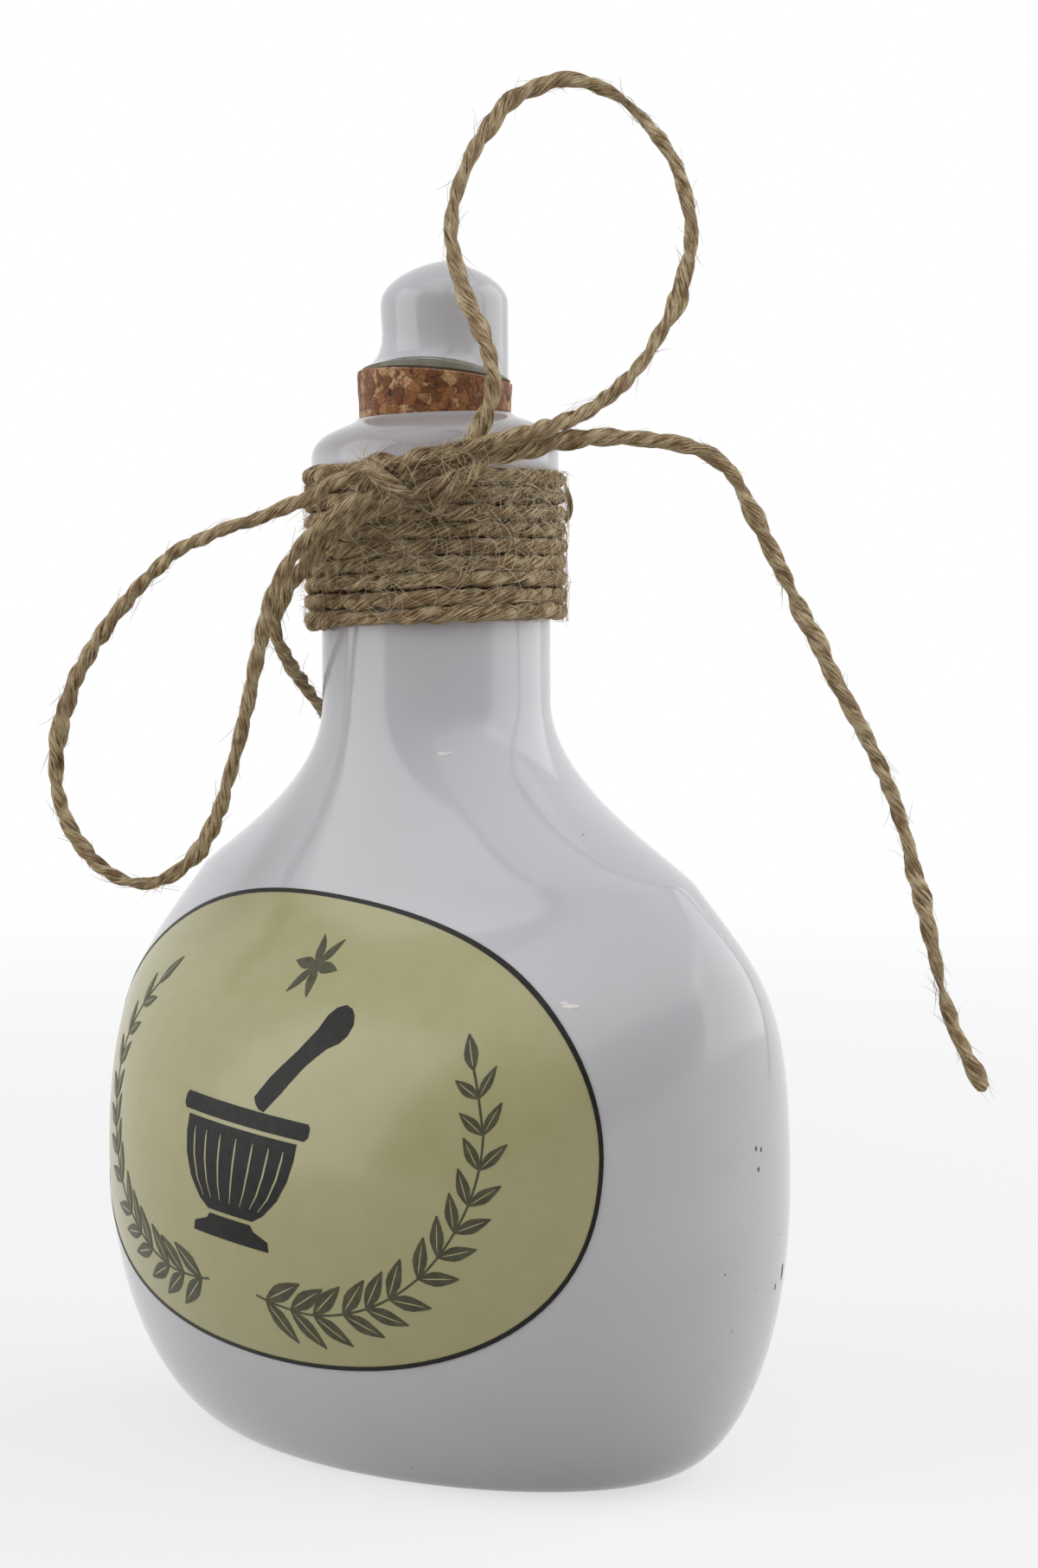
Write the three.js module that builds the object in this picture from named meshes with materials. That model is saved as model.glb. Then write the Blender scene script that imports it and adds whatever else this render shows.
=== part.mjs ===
// Flat-sided ceramic apothecary flask: a glazed jar with an oval label on its
// front, a cork stopper with a glazed knob glued to it, and jute twine wound
// round the neck and tied in a loose bow.
// Millimetres, +Z up. The origin is the centre of the foot, the label faces -Y.

import * as THREE from 'three';
import { ParametricGeometry } from 'three/addons/geometries/ParametricGeometry.js';

// Jar body, full widths across X and full depths along Y
const FOOT_WIDTH = 76;
const FOOT_DEPTH = 47;
const BODY_WIDTH = 116;
const BODY_DEPTH = 83;
const SHOULDER_WIDTH = 94;
const SHOULDER_DEPTH = 40;
const NECK_DIAMETER = 34;
const LIP_DIAMETER = 36.7;

// Jar levels, each counted from the one below
const BELLY_HEIGHT = 41.7;
const SHOULDER_RISE = 43.2;
const NECK_FLARE_RISE = 25.8;
const NECK_LENGTH = 33.9;
const LIP_HEIGHT = 8.3;

// How full the outline's curves are, as shares of the span that each one bends over
const FOOT_TURN_ACROSS = 0.62;
const FOOT_TURN_DEEP = 0.1;
const BELLY_FULLNESS_BELOW = 0.66;
const BELLY_FULLNESS_ABOVE = 0.65;
const SHOULDER_FULLNESS_BELOW = 0.31;
const SHOULDER_FULLNESS_ABOVE = 0.12;
const NECK_FULLNESS = 0.45;
const SHOULDER_SLOPE_ACROSS = 1.0;
const SHOULDER_SLOPE_DEEP = 0.21;

// Walls and base
const WALL = 4.2;
const FLOOR = 5.5;
const FOOT_RING_WIDTH = 4.5;
const FOOT_RECESS = 1.5;

// Stopper
const CORK_TOP_DIAMETER = 23;
const CORK_BOTTOM_DIAMETER = 20.8;
const CORK_LENGTH = 24;
const CORK_PROUD = 5.9;
const CORK_CHAMFER = 0.5;
const CORK_CLEARANCE = 0.25;
const GLUE_DIAMETER = 19.6;
const GLUE_THICKNESS = 0.9;
const KNOB_DIAMETER = 19;
const KNOB_WAIST_DIAMETER = 18.2;
const KNOB_FOOT_DIAMETER = 21;
const KNOB_HEIGHT = 16.2;
const KNOB_FLARE_HEIGHT = 4.2;
const KNOB_DOME_HEIGHT = 6.4;
const KNOB_OFF_CENTRE = 0.4;
const KNOB_LEAN = 1.1;

// Label, measured along the curved front
const LABEL_WIDTH = 112.6;
const LABEL_HEIGHT = 64;
const LABEL_CENTRE_HEIGHT = 51;
const LABEL_TILT = THREE.MathUtils.degToRad(-5.5);
const LABEL_THICKNESS = 0.3;

// Twine: wound turns lie about one twine apart and keep a small gap to each other
const TWINE_DIAMETER = 2.3;
const WRAP_TURNS = 9.2;
const WRAP_PITCH = 2.22;
const WRAP_GAP = 0.45;
const WRAP_TOP_CLEARANCE = 0.4;
const KNOT_WIDTH = 15;
const KNOT_DEPTH = 6.2;
const KNOT_HEIGHT = 8.8;
const KNOT_ASIDE = 0.7;
const KNOT_RISE = 0.3;
const KNOT_LEAN = THREE.MathUtils.degToRad(-15);
const BOW_BEARING = THREE.MathUtils.degToRad(43.9);

// Space between two curved pieces that touch
const SEAT_GAP = 0.3;

// Facets round each piece
const JAR_SEGMENTS = 48;
const STOPPER_SEGMENTS = 36;
const LABEL_SEGMENTS = 48;
const LABEL_RINGS = 9;
const WRAP_STEPS_PER_TURN = 24;

// Routes of the bow, from the middle of the knot: right, back and up as seen facing it
const UPPER_LOOP = [
  [6.7, 1.4, 4.4], [7.9, 1.0, 6.6], [8.7, 0.8, 9.2], [9.0, 0.9, 12.0], [8.4, 1.6, 15.5],
  [7.0, 3.0, 19.5], [4.6, 4.2, 25.5],
  [3.2, 5.0, 32.0], [3.8, 5.7, 38.0], [6.6, 6.6, 45.0], [11.0, 7.4, 51.2], [16.0, 8.0, 54.4],
  [21.0, 8.6, 55.2], [27.0, 8.6, 53.0], [32.0, 8.6, 48.2], [36.0, 8.6, 42.0], [37.7, 8.0, 34.3],
  [36.6, 7.2, 26.5], [33.0, 5.8, 18.5], [27.8, 3.6, 11.6], [22.0, 1.0, 7.2], [15.8, -1.4, 4.6],
  [11.5, -1.9, 3.6], [7.2, -1.2, 2.6],
];
const RIGHT_TAIL = [
  [7.7, 1.1, 0.8], [13.0, 1.0, 1.7], [18.0, 1.2, 3.0], [24.0, 1.7, 3.7], [30.0, 2.8, 3.5],
  [36.0, 3.8, 2.7], [40.5, 4.5, 1.1], [43.3, 5.1, -1.5], [45.6, 6.0, -5.5], [49.6, 7.6, -13.2],
  [54.1, 9.6, -21.8], [59.9, 11.6, -32.9], [64.2, 13.0, -40.6], [68.0, 14.2, -49.0],
  [71.2, 15.2, -59.5], [73.8, 15.6, -70.0], [75.2, 15.6, -76.8], [77.4, 15.6, -83.5],
  [81.7, 15.6, -92.3],
];
const LEFT_LOOP = [
  [-8.2, 0.0, -0.8], [-13.0, 0.7, -2.4], [-18.0, 2.6, -5.0], [-24.5, 5.6, -7.4], [-31.5, 9.2, -9.6],
  [-37.5, 12.4, -12.4], [-43.5, 15.7, -18.0], [-49.0, 18.9, -24.5], [-53.2, 21.8, -31.5],
  [-55.9, 24.8, -39.5], [-56.2, 25.6, -47.5], [-53.4, 25.6, -54.8], [-48.0, 24.0, -60.0],
  [-42.5, 22.5, -61.2], [-37.4, 21.0, -58.9], [-33.0, 19.2, -53.4], [-29.9, 16.2, -45.2],
  [-27.3, 13.3, -36.0], [-25.0, 10.1, -26.4], [-22.6, 6.8, -18.0], [-18.2, 3.4, -11.2],
  [-13.0, 0.4, -6.8], [-7.0, -0.7, -3.6],
];
const LEFT_TAIL = [
  [-5.2, 1.2, -4.8], [-11.6, 3.6, -8.4], [-15.6, 5.8, -11.4], [-19.0, 8.2, -15.2], [-21.4, 10.8, -18.8],
  [-22.7, 13.4, -22.0], [-22.6, 16.2, -24.8], [-21.5, 19.6, -27.4], [-19.8, 23.8, -30.6],
  [-17.9, 28.8, -33.7], [-15.3, 36.6, -37.9], [-12.6, 44.1, -42.9], [-11.2, 50.7, -48.4],
  [-10.6, 57.0, -55.9], [-10.2, 62.6, -64.9], [-9.0, 67.4, -73.9],
];

// Levels and radii that several pieces share
const SHOULDER_LEVEL = BELLY_HEIGHT + SHOULDER_RISE;
const NECK_ROOT = SHOULDER_LEVEL + NECK_FLARE_RISE;
const LIP_UNDERSIDE = NECK_ROOT + NECK_LENGTH;
const LIP_TOP = LIP_UNDERSIDE + LIP_HEIGHT;
const NECK_RADIUS = NECK_DIAMETER / 2;
const LIP_RADIUS = LIP_DIAMETER / 2;
const CORK_TOP = LIP_TOP + CORK_PROUD;
const CORK_BOTTOM = CORK_TOP - CORK_LENGTH;
const WRAP_TUBE = TWINE_DIAMETER - WRAP_GAP;
const WRAP_RADIUS = (NECK_RADIUS + SEAT_GAP + WRAP_TUBE / 2) / Math.cos(Math.PI / WRAP_STEPS_PER_TURN);
const WRAP_TOP = LIP_UNDERSIDE - WRAP_TOP_CLEARANCE - WRAP_TUBE / 2;
const KNOT_REACH = Math.max(WRAP_RADIUS, LIP_RADIUS) + 2 * SEAT_GAP + KNOT_DEPTH / 2;

const TURN = 2 * Math.PI;
const SLOPE_STEP = 0.1;

function point(x, y) {
  return new THREE.Vector2(x, y);
}

function named(name, geometry, color, roughness) {
  const material = new THREE.MeshStandardMaterial({ color, roughness, metalness: 0 });
  const mesh = new THREE.Mesh(geometry, material);
  mesh.name = name;
  return mesh;
}

// One side of the body's outline from foot to neck, as three curves. Both sides
// put the same share of a curve at the same height, so they pair up into rings.
function outline(foot, footTurn, belly, shoulder, slope) {
  const below = SHOULDER_RISE * SHOULDER_FULLNESS_BELOW;
  const above = NECK_FLARE_RISE * SHOULDER_FULLNESS_ABOVE;
  return [
    new THREE.CubicBezierCurve(
      point(foot, 0),
      point(foot + (belly - foot) * footTurn, 0),
      point(belly, BELLY_HEIGHT * (1 - BELLY_FULLNESS_BELOW)),
      point(belly, BELLY_HEIGHT),
    ),
    new THREE.CubicBezierCurve(
      point(belly, BELLY_HEIGHT),
      point(belly, BELLY_HEIGHT + SHOULDER_RISE * BELLY_FULLNESS_ABOVE),
      point(shoulder + slope * below, SHOULDER_LEVEL - below),
      point(shoulder, SHOULDER_LEVEL),
    ),
    new THREE.CubicBezierCurve(
      point(shoulder, SHOULDER_LEVEL),
      point(shoulder - slope * above, SHOULDER_LEVEL + above),
      point(NECK_RADIUS, NECK_ROOT - NECK_FLARE_RISE * NECK_FULLNESS),
      point(NECK_RADIUS, NECK_ROOT),
    ),
  ];
}

const acrossOutline = outline(
  FOOT_WIDTH / 2, FOOT_TURN_ACROSS, BODY_WIDTH / 2, SHOULDER_WIDTH / 2, SHOULDER_SLOPE_ACROSS,
);
const deepOutline = outline(
  FOOT_DEPTH / 2, FOOT_TURN_DEEP, BODY_DEPTH / 2, SHOULDER_DEPTH / 2, SHOULDER_SLOPE_DEEP,
);

// An oval ring of the jar: half width, half depth and height
function ring(across, deep, z) {
  return { across, deep, z };
}

function outerRing(span, share) {
  const across = acrossOutline[span].getPoint(share);
  return ring(across.x, deepOutline[span].getPoint(share).x, across.y);
}

// The wall's inner face, one wall thickness in along the outline's mean slope
function innerRing(span, share) {
  const outer = outerRing(span, share);
  const across = acrossOutline[span].getTangent(share);
  const deep = deepOutline[span].getTangent(share);
  const lean = point(-(across.x + deep.x), across.y + deep.y).normalize();
  const inset = WALL * lean.y;
  return ring(outer.across - inset, outer.deep - inset, outer.z - WALL * lean.x);
}

// The body's ring at any height between foot and neck
function ringAt(height) {
  const span = height < BELLY_HEIGHT ? 0 : height < SHOULDER_LEVEL ? 1 : 2;
  let low = 0;
  let high = 1;
  for (let i = 0; i < 30; i++) {
    const middle = (low + high) / 2;
    if (acrossOutline[span].getPoint(middle).y < height) low = middle;
    else high = middle;
  }
  return outerRing(span, low);
}

function boreRadius(height) {
  const share = (CORK_TOP - height) / CORK_LENGTH;
  return THREE.MathUtils.lerp(CORK_TOP_DIAMETER, CORK_BOTTOM_DIAMETER, share) / 2 + CORK_CLEARANCE;
}

// The lip rises from the neck, rolls over and slopes up to the mouth in one curve
function lipRings() {
  const mouth = boreRadius(LIP_TOP);
  const land = LIP_RADIUS - mouth;
  const drop = LIP_HEIGHT * 0.8;
  const roll = new THREE.CubicBezierCurve(
    point(LIP_RADIUS, LIP_TOP - drop),
    point(LIP_RADIUS + land * 0.05, LIP_TOP - drop * 0.2),
    point(mouth + land * 0.12, LIP_TOP - drop * 0.2),
    point(mouth, LIP_TOP),
  );
  return roll.getPoints(6).map((p) => ring(p.x, p.x, p.y));
}

// Jar: up the outside, over the lip, down the inside to the floor
function jarRings() {
  const recess = ring(FOOT_WIDTH / 2 - FOOT_RING_WIDTH, FOOT_DEPTH / 2 - FOOT_RING_WIDTH, 0);
  const rings = [
    ring(0, 0, FOOT_RECESS),
    ring(recess.across - FOOT_RECESS, recess.deep - FOOT_RECESS, FOOT_RECESS),
    recess,
  ];
  const steps = [9, 9, 7];
  steps.forEach((count, span) => {
    for (let i = 0; i < count; i++) rings.push(outerRing(span, i / count));
  });
  rings.push(ring(NECK_RADIUS, NECK_RADIUS, NECK_ROOT));
  rings.push(ring(NECK_RADIUS, NECK_RADIUS, LIP_UNDERSIDE));
  rings.push(...lipRings());
  const boreFoot = CORK_BOTTOM - CORK_CLEARANCE;
  rings.push(ring(boreRadius(boreFoot), boreRadius(boreFoot), boreFoot));
  const neckInside = NECK_RADIUS - WALL;
  rings.push(ring(neckInside, neckInside, boreFoot - WALL));
  const innerSteps = [6, 7, 6];
  for (const span of [2, 1, 0]) {
    for (let i = innerSteps[span]; i > 0; i--) {
      const inner = innerRing(span, i / innerSteps[span]);
      if (inner.z > FLOOR + WALL / 2) rings.push(inner);
    }
  }
  const last = rings.at(-1);
  rings.push(ring(last.across - WALL / 2, last.deep - WALL / 2, FLOOR + WALL / 8));
  rings.push(ring(last.across - WALL, last.deep - WALL, FLOOR));
  rings.push(ring(0, 0, FLOOR));
  return rings;
}

function jarBody() {
  const rings = jarRings();
  const surface = (u, v, target) => {
    const here = rings[Math.round(v * (rings.length - 1))];
    const angle = u * TURN;
    target.set(here.across * Math.cos(angle), here.deep * Math.sin(angle), here.z);
  };
  return named('jar_body', new ParametricGeometry(surface, JAR_SEGMENTS, rings.length - 1), 0xe9e8ec, 0.15);
}

// Angle on an oval ring at a distance walked along it from the front, right positive
function angleAlong(oval, distance) {
  const step = (Math.sign(distance) * TURN) / 360;
  let angle = -TURN / 4;
  let left = Math.abs(distance);
  while (left > 0) {
    const pace = Math.abs(step) * Math.hypot(oval.across * Math.sin(angle), oval.deep * Math.cos(angle));
    const share = Math.min(1, left / pace);
    angle += step * share;
    left -= pace;
  }
  return angle;
}

// A spot of the label, lifted square off the front by a little distance
function labelSpot(x, y, lift) {
  const along = x * Math.cos(LABEL_TILT) - y * Math.sin(LABEL_TILT);
  const up = x * Math.sin(LABEL_TILT) + y * Math.cos(LABEL_TILT);
  const height = LABEL_CENTRE_HEIGHT + up;
  const oval = ringAt(height);
  const next = ringAt(height + SLOPE_STEP);
  const angle = angleAlong(oval, along);
  const x1 = Math.cos(angle);
  const y1 = Math.sin(angle);
  const lean = (x1 * x1 * (next.across - oval.across)) / oval.across
    + (y1 * y1 * (next.deep - oval.deep)) / oval.deep;
  const outward = new THREE.Vector3(x1 / oval.across, y1 / oval.deep, -lean / SLOPE_STEP).normalize();
  return new THREE.Vector3(oval.across * x1, oval.deep * y1, height).addScaledVector(outward, lift);
}

function labelDecal() {
  const stacks = 2 * LABEL_RINGS + 1;
  const surface = (u, v, target) => {
    const row = Math.round(v * stacks);
    const outside = row <= LABEL_RINGS;
    const reach = (outside ? row : stacks - row) / LABEL_RINGS;
    const lift = SEAT_GAP + (outside ? LABEL_THICKNESS : 0);
    const angle = -u * TURN;
    const x = (reach * LABEL_WIDTH * Math.cos(angle)) / 2;
    const y = (reach * LABEL_HEIGHT * Math.sin(angle)) / 2;
    target.copy(labelSpot(x, y, lift));
  };
  return named('label_decal', new ParametricGeometry(surface, LABEL_SEGMENTS, stacks), 0xcfc98f, 0.3);
}

function stopperCork() {
  const top = CORK_TOP_DIAMETER / 2;
  const bottom = CORK_BOTTOM_DIAMETER / 2;
  const profile = [
    point(0, CORK_BOTTOM),
    point(bottom - CORK_CHAMFER, CORK_BOTTOM),
    point(bottom, CORK_BOTTOM + CORK_CHAMFER),
    point(top, CORK_TOP - CORK_CHAMFER),
    point(top - CORK_CHAMFER, CORK_TOP),
    point(0, CORK_TOP),
  ];
  return turned('stopper_cork', profile, 0x9c7450, 0.9);
}

// A lathe turns its profile about Y, so it is stood up along Z
function turned(name, profile, color, roughness) {
  const geometry = new THREE.LatheGeometry(profile, STOPPER_SEGMENTS).rotateX(TURN / 4);
  return named(name, geometry, color, roughness);
}

function stopperGlue() {
  const radius = GLUE_DIAMETER / 2;
  const profile = [
    point(0, 0),
    point(radius - GLUE_THICKNESS / 2, 0),
    point(radius, GLUE_THICKNESS / 2),
    point(radius - GLUE_THICKNESS / 2, GLUE_THICKNESS),
    point(0, GLUE_THICKNESS),
  ];
  return turned('stopper_glue', profile, 0xb9b7b0, 0.4);
}

// Knob: a flared foot, a slim waist, an upright side and a low dome, all above
// the foot a little to the right of it
function stopperKnob() {
  const outlinePath = new THREE.Path();
  const side = KNOB_HEIGHT - KNOB_DOME_HEIGHT;
  const edge = KNOB_FLARE_HEIGHT / 8;
  outlinePath.moveTo(KNOB_FOOT_DIAMETER / 2, edge);
  outlinePath.quadraticCurveTo(
    KNOB_WAIST_DIAMETER / 2, edge, KNOB_WAIST_DIAMETER / 2, KNOB_FLARE_HEIGHT,
  );
  outlinePath.bezierCurveTo(
    KNOB_WAIST_DIAMETER / 2, (KNOB_FLARE_HEIGHT + side) / 2,
    KNOB_DIAMETER / 2, (KNOB_FLARE_HEIGHT + side) / 2,
    KNOB_DIAMETER / 2, side,
  );
  outlinePath.bezierCurveTo(
    KNOB_DIAMETER / 2, side + KNOB_DOME_HEIGHT * 0.62,
    KNOB_DIAMETER / 4, KNOB_HEIGHT,
    0, KNOB_HEIGHT,
  );
  const profile = [point(0, 0), point(KNOB_FOOT_DIAMETER / 2 - edge, 0), ...outlinePath.getPoints(5)];
  const knob = turned('stopper_knob', profile, 0xe9e8ec, 0.15);
  const places = knob.geometry.attributes.position;
  for (let i = 0; i < places.count; i++) {
    const share = THREE.MathUtils.smoothstep(places.getZ(i), edge, KNOB_FLARE_HEIGHT);
    places.setX(i, places.getX(i) + KNOB_LEAN * share);
  }
  return knob;
}

// Winding: a helix whose two ends run straight on for one tube diameter
class WrapPath extends THREE.Curve {
  constructor() {
    super();
    this.rise = WRAP_PITCH / TURN;
    this.turning = WRAP_TURNS * TURN;
    this.arc = Math.hypot(WRAP_RADIUS, this.rise) * this.turning;
    this.whole = this.arc + 2 * WRAP_TUBE;
  }

  helixPoint(angle) {
    const start = TURN / 2;
    const z = WRAP_TOP - (this.turning - angle) * this.rise;
    return new THREE.Vector3(WRAP_RADIUS * Math.cos(start + angle), WRAP_RADIUS * Math.sin(start + angle), z);
  }

  helixHeading(angle) {
    const start = TURN / 2;
    return new THREE.Vector3(
      -WRAP_RADIUS * Math.sin(start + angle), WRAP_RADIUS * Math.cos(start + angle), this.rise,
    ).normalize();
  }

  getPoint(share) {
    const along = share * this.whole - WRAP_TUBE;
    const wound = THREE.MathUtils.clamp(along, 0, this.arc);
    const angle = (wound / this.arc) * this.turning;
    return this.helixPoint(angle).addScaledVector(this.helixHeading(angle), along - wound);
  }
}

// A round length of twine along a path, with the given number of sides
function twineTube(path, diameter, steps, sides) {
  const section = new THREE.Shape().absarc(0, 0, diameter / 2, 0, TURN);
  return new THREE.ExtrudeGeometry(section, {
    steps, curveSegments: sides / 2, bevelEnabled: false, extrudePath: path,
  });
}

// Least space between two turns, measured on points along the winding
function leastGap(path) {
  const pointsPerTurn = 36;
  const points = path.getSpacedPoints(Math.round(WRAP_TURNS * pointsPerTurn));
  let least = Infinity;
  for (let i = 0; i < points.length; i++) {
    for (let j = i + pointsPerTurn / 2; j < points.length; j++) {
      least = Math.min(least, points[i].distanceTo(points[j]) - WRAP_TUBE);
    }
  }
  return least;
}

function twineWrap() {
  const path = new WrapPath();
  console.log(`twine_wrap least gap to itself: ${leastGap(path).toFixed(2)} mm`);
  const steps = Math.round(WRAP_TURNS * WRAP_STEPS_PER_TURN) + 4;
  return named('twine_wrap', twineTube(path, WRAP_TUBE, steps, 6), 0x8f7c5c, 0.95);
}

function twineKnot() {
  const lump = new THREE.SphereGeometry(1, 20, 12).scale(KNOT_WIDTH / 2, KNOT_DEPTH / 2, KNOT_HEIGHT / 2);
  const knot = named('twine_knot', lump, 0x8f7c5c, 0.95);
  knot.rotation.y = KNOT_LEAN;
  return knot;
}

function twineStretch(name, route, steps) {
  const path = new THREE.CatmullRomCurve3(route.map((p) => new THREE.Vector3(...p)));
  return named(name, twineTube(path, TWINE_DIAMETER, steps, 8), 0x9a8765, 0.95);
}

// Assembly
const flask = new THREE.Group();
flask.add(jarBody(), labelDecal());

const stopper = new THREE.Group();
const cork = stopperCork();
const crown = new THREE.Group();
crown.rotation.z = BOW_BEARING;
crown.position.set(
  KNOB_OFF_CENTRE * Math.cos(BOW_BEARING), KNOB_OFF_CENTRE * Math.sin(BOW_BEARING), CORK_TOP,
);
const knob = stopperKnob();
knob.position.z = GLUE_THICKNESS;
crown.add(stopperGlue(), knob);
stopper.add(cork, crown);
flask.add(stopper);

const twine = new THREE.Group();
twine.rotation.z = BOW_BEARING;
const bow = new THREE.Group();
bow.position.set(-KNOT_ASIDE, -KNOT_REACH, LIP_UNDERSIDE + KNOT_RISE);
bow.add(
  twineKnot(),
  twineStretch('twine_loop_upper', UPPER_LOOP, 20),
  twineStretch('twine_loop_left', LEFT_LOOP, 25),
  twineStretch('twine_tail_right', RIGHT_TAIL, 20),
  twineStretch('twine_tail_left', LEFT_TAIL, 15),
);
twine.add(twineWrap(), bow);
flask.add(twine);

export default flask;
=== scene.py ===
# %% [markdown]
# # A glazed flask with a cork and a twine bow
#
# The object is a small flat-sided flask of white glazed ceramic, with an oval printed
# label, a cork that carries a glazed knob, and jute twine wound round the neck and tied
# in a loose bow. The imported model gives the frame: every piece made here is in metres,
# in that frame, and rides on one of its two bodies, the jar or the stopper.

# %% Load the frame
import math
import random

import bmesh
import bpy
from mathutils import Matrix, Vector, noise


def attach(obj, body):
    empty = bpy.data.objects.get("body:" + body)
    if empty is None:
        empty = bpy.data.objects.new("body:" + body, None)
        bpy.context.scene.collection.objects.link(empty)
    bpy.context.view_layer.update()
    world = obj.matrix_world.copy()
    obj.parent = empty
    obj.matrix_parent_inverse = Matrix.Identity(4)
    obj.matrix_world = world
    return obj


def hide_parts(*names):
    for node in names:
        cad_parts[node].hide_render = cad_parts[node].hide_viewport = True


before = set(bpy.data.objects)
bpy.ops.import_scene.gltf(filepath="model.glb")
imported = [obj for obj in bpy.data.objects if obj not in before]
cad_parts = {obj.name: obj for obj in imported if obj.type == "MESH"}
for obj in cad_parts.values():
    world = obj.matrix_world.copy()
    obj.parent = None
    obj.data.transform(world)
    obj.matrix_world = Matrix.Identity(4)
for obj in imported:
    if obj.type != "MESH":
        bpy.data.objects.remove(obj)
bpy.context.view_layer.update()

MM = 0.001

# %% [markdown]
# ## Camera
#
# The picture was taken from the right of the label, a little above the middle of the jar.
# The camera's place was worked out from the jar's outline and the label's edge in the
# picture. Blender could aim it with a constraint; three plain angles say the same thing.

# %% Camera
PICTURE_WIDTH, PICTURE_HEIGHT = 1200, 1813
FOCAL_PIXELS = 3649
SENSOR = 36.0
AZIMUTH, PITCH_DOWN, YAW_RIGHT, ROLL = 43.9, 2.82, 1.5, 0.28
DISTANCE, EYE_HEIGHT = 0.4707, 0.12145

camera_data = bpy.data.cameras.new("photo_camera")
camera_data.sensor_fit = "VERTICAL"
camera_data.sensor_height = SENSOR
camera_data.lens = FOCAL_PIXELS / PICTURE_HEIGHT * SENSOR
camera_data.clip_start = 0.01
camera = bpy.data.objects.new("photo_camera", camera_data)
bpy.context.scene.collection.objects.link(camera)
bearing = math.radians(AZIMUTH)
camera.location = (DISTANCE * math.sin(bearing), -DISTANCE * math.cos(bearing), EYE_HEIGHT)
camera.rotation_euler = (
    math.radians(90 - PITCH_DOWN), math.radians(ROLL), math.radians(AZIMUTH - YAW_RIGHT))
bpy.context.scene.camera = camera
print("camera lens %.2f mm" % camera_data.lens)

# %% [markdown]
# ## Small helpers
#
# Operators act on whatever is selected, so each step starts from an empty selection.
# Colours are written as sRGB hex values, as a paint chart gives them, and one function
# turns them into the linear numbers that Blender's shaders use.

# %% Helpers for selecting, joining and smoothing
SMOOTH_ANGLE = math.radians(40)


def nothing_selected():
    if bpy.context.object and bpy.context.object.mode != "OBJECT":
        bpy.ops.object.mode_set(mode="OBJECT")
    bpy.ops.object.select_all(action="DESELECT")


def work_on(piece):
    nothing_selected()
    piece.select_set(True)
    bpy.context.view_layer.objects.active = piece


def join_as(name, pieces):
    """One piece made of several, in the place of the first of them."""
    work_on(pieces[0])
    for piece in pieces:
        piece.select_set(True)
    bpy.ops.object.join()
    joined = bpy.context.object
    joined.name = joined.data.name = name
    return joined


def face_outwards():
    """Leave edit mode with every face turned outwards and the soft edges smoothed."""
    bpy.ops.mesh.select_all(action="SELECT")
    bpy.ops.mesh.normals_make_consistent(inside=False)
    bpy.ops.object.mode_set(mode="OBJECT")
    bpy.ops.object.shade_smooth_by_angle(angle=SMOOTH_ANGLE)


print("edges are smoothed up to %.0f degrees" % math.degrees(SMOOTH_ANGLE))

# %% Helpers for colours and nodes
def linear(hex_colour):
    """Linear colour of an sRGB hex value, by that standard's own curve."""
    channels = [int(hex_colour[i:i + 2], 16) / 255 for i in (1, 3, 5)]
    return [c / 12.92 if c <= 0.04045 else ((c + 0.055) / 1.055) ** 2.4 for c in channels] + [1.0]


def cycles(millimetres):
    """Texture scale, in features a metre, for features of that size."""
    return 1000.0 / millimetres


def add_node(tree, kind, inputs=None, **settings):
    """A node with its settings; inputs are values, or sockets of other nodes."""
    node = tree.nodes.new(kind)
    for name, value in settings.items():
        setattr(node, name, value)
    for name, value in (inputs or {}).items():
        socket = node.inputs[name]
        if isinstance(value, bpy.types.NodeSocket):
            tree.links.new(value, socket)
        else:
            socket.default_value = value
    return node


def new_material(name):
    material = bpy.data.materials.new(name)
    material.use_nodes = True
    tree = material.node_tree
    return material, tree, tree.nodes["Principled BSDF"]


def set_ramp(ramp_node, stops):
    ramp = ramp_node.color_ramp
    while len(ramp.elements) < len(stops):
        ramp.elements.new(0.5)
    for element, (place, colour) in zip(ramp.elements, stops):
        element.position = place
        element.color = linear(colour)


def wear(piece, material):
    piece.data.materials.clear()
    piece.data.materials.append(material)


print("mid grey in linear light: %.3f" % linear("#808080")[0])

# %% [markdown]
# ## Glaze
#
# The jar is slip-cast earthenware under a clear glossy glaze over white. To the eye that
# is a cool white with sharp reflections, very slight waves where the glaze ran, and a few
# pinholes and specks. The waves and specks are drawn at their real sizes. The glaze is
# painted greyer on the lip and on the whole knob: painted shade at the top of the jar.

# %% Glaze material
GLAZE_WHITE, GLAZE_SHADE, GLAZE_SPECK = "#CFCFD4", "#C8C7CA", "#6E6962"
# The lip's grey is painted shade, laid over the glaze from RIM_LEVEL up.
GLAZE_RIM_PAINTED_SHADE, RIM_LEVEL, RIM_FADE = "#ABA7A8", 0.1455, 3 * MM
# The knob's glaze is a darker copy of the jar's: painted shade.
KNOB_WHITE, KNOB_SHADE = "#C6C6CA", "#BFBEC1"
CLOUD_MM, PINHOLE_MM, WAVE_MM, WAVE_DEPTH = 45, 2.6, 14, 0.4 * MM
GLAZE_ROUGHNESS, GLAZE_IOR = 0.12, 1.5


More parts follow.
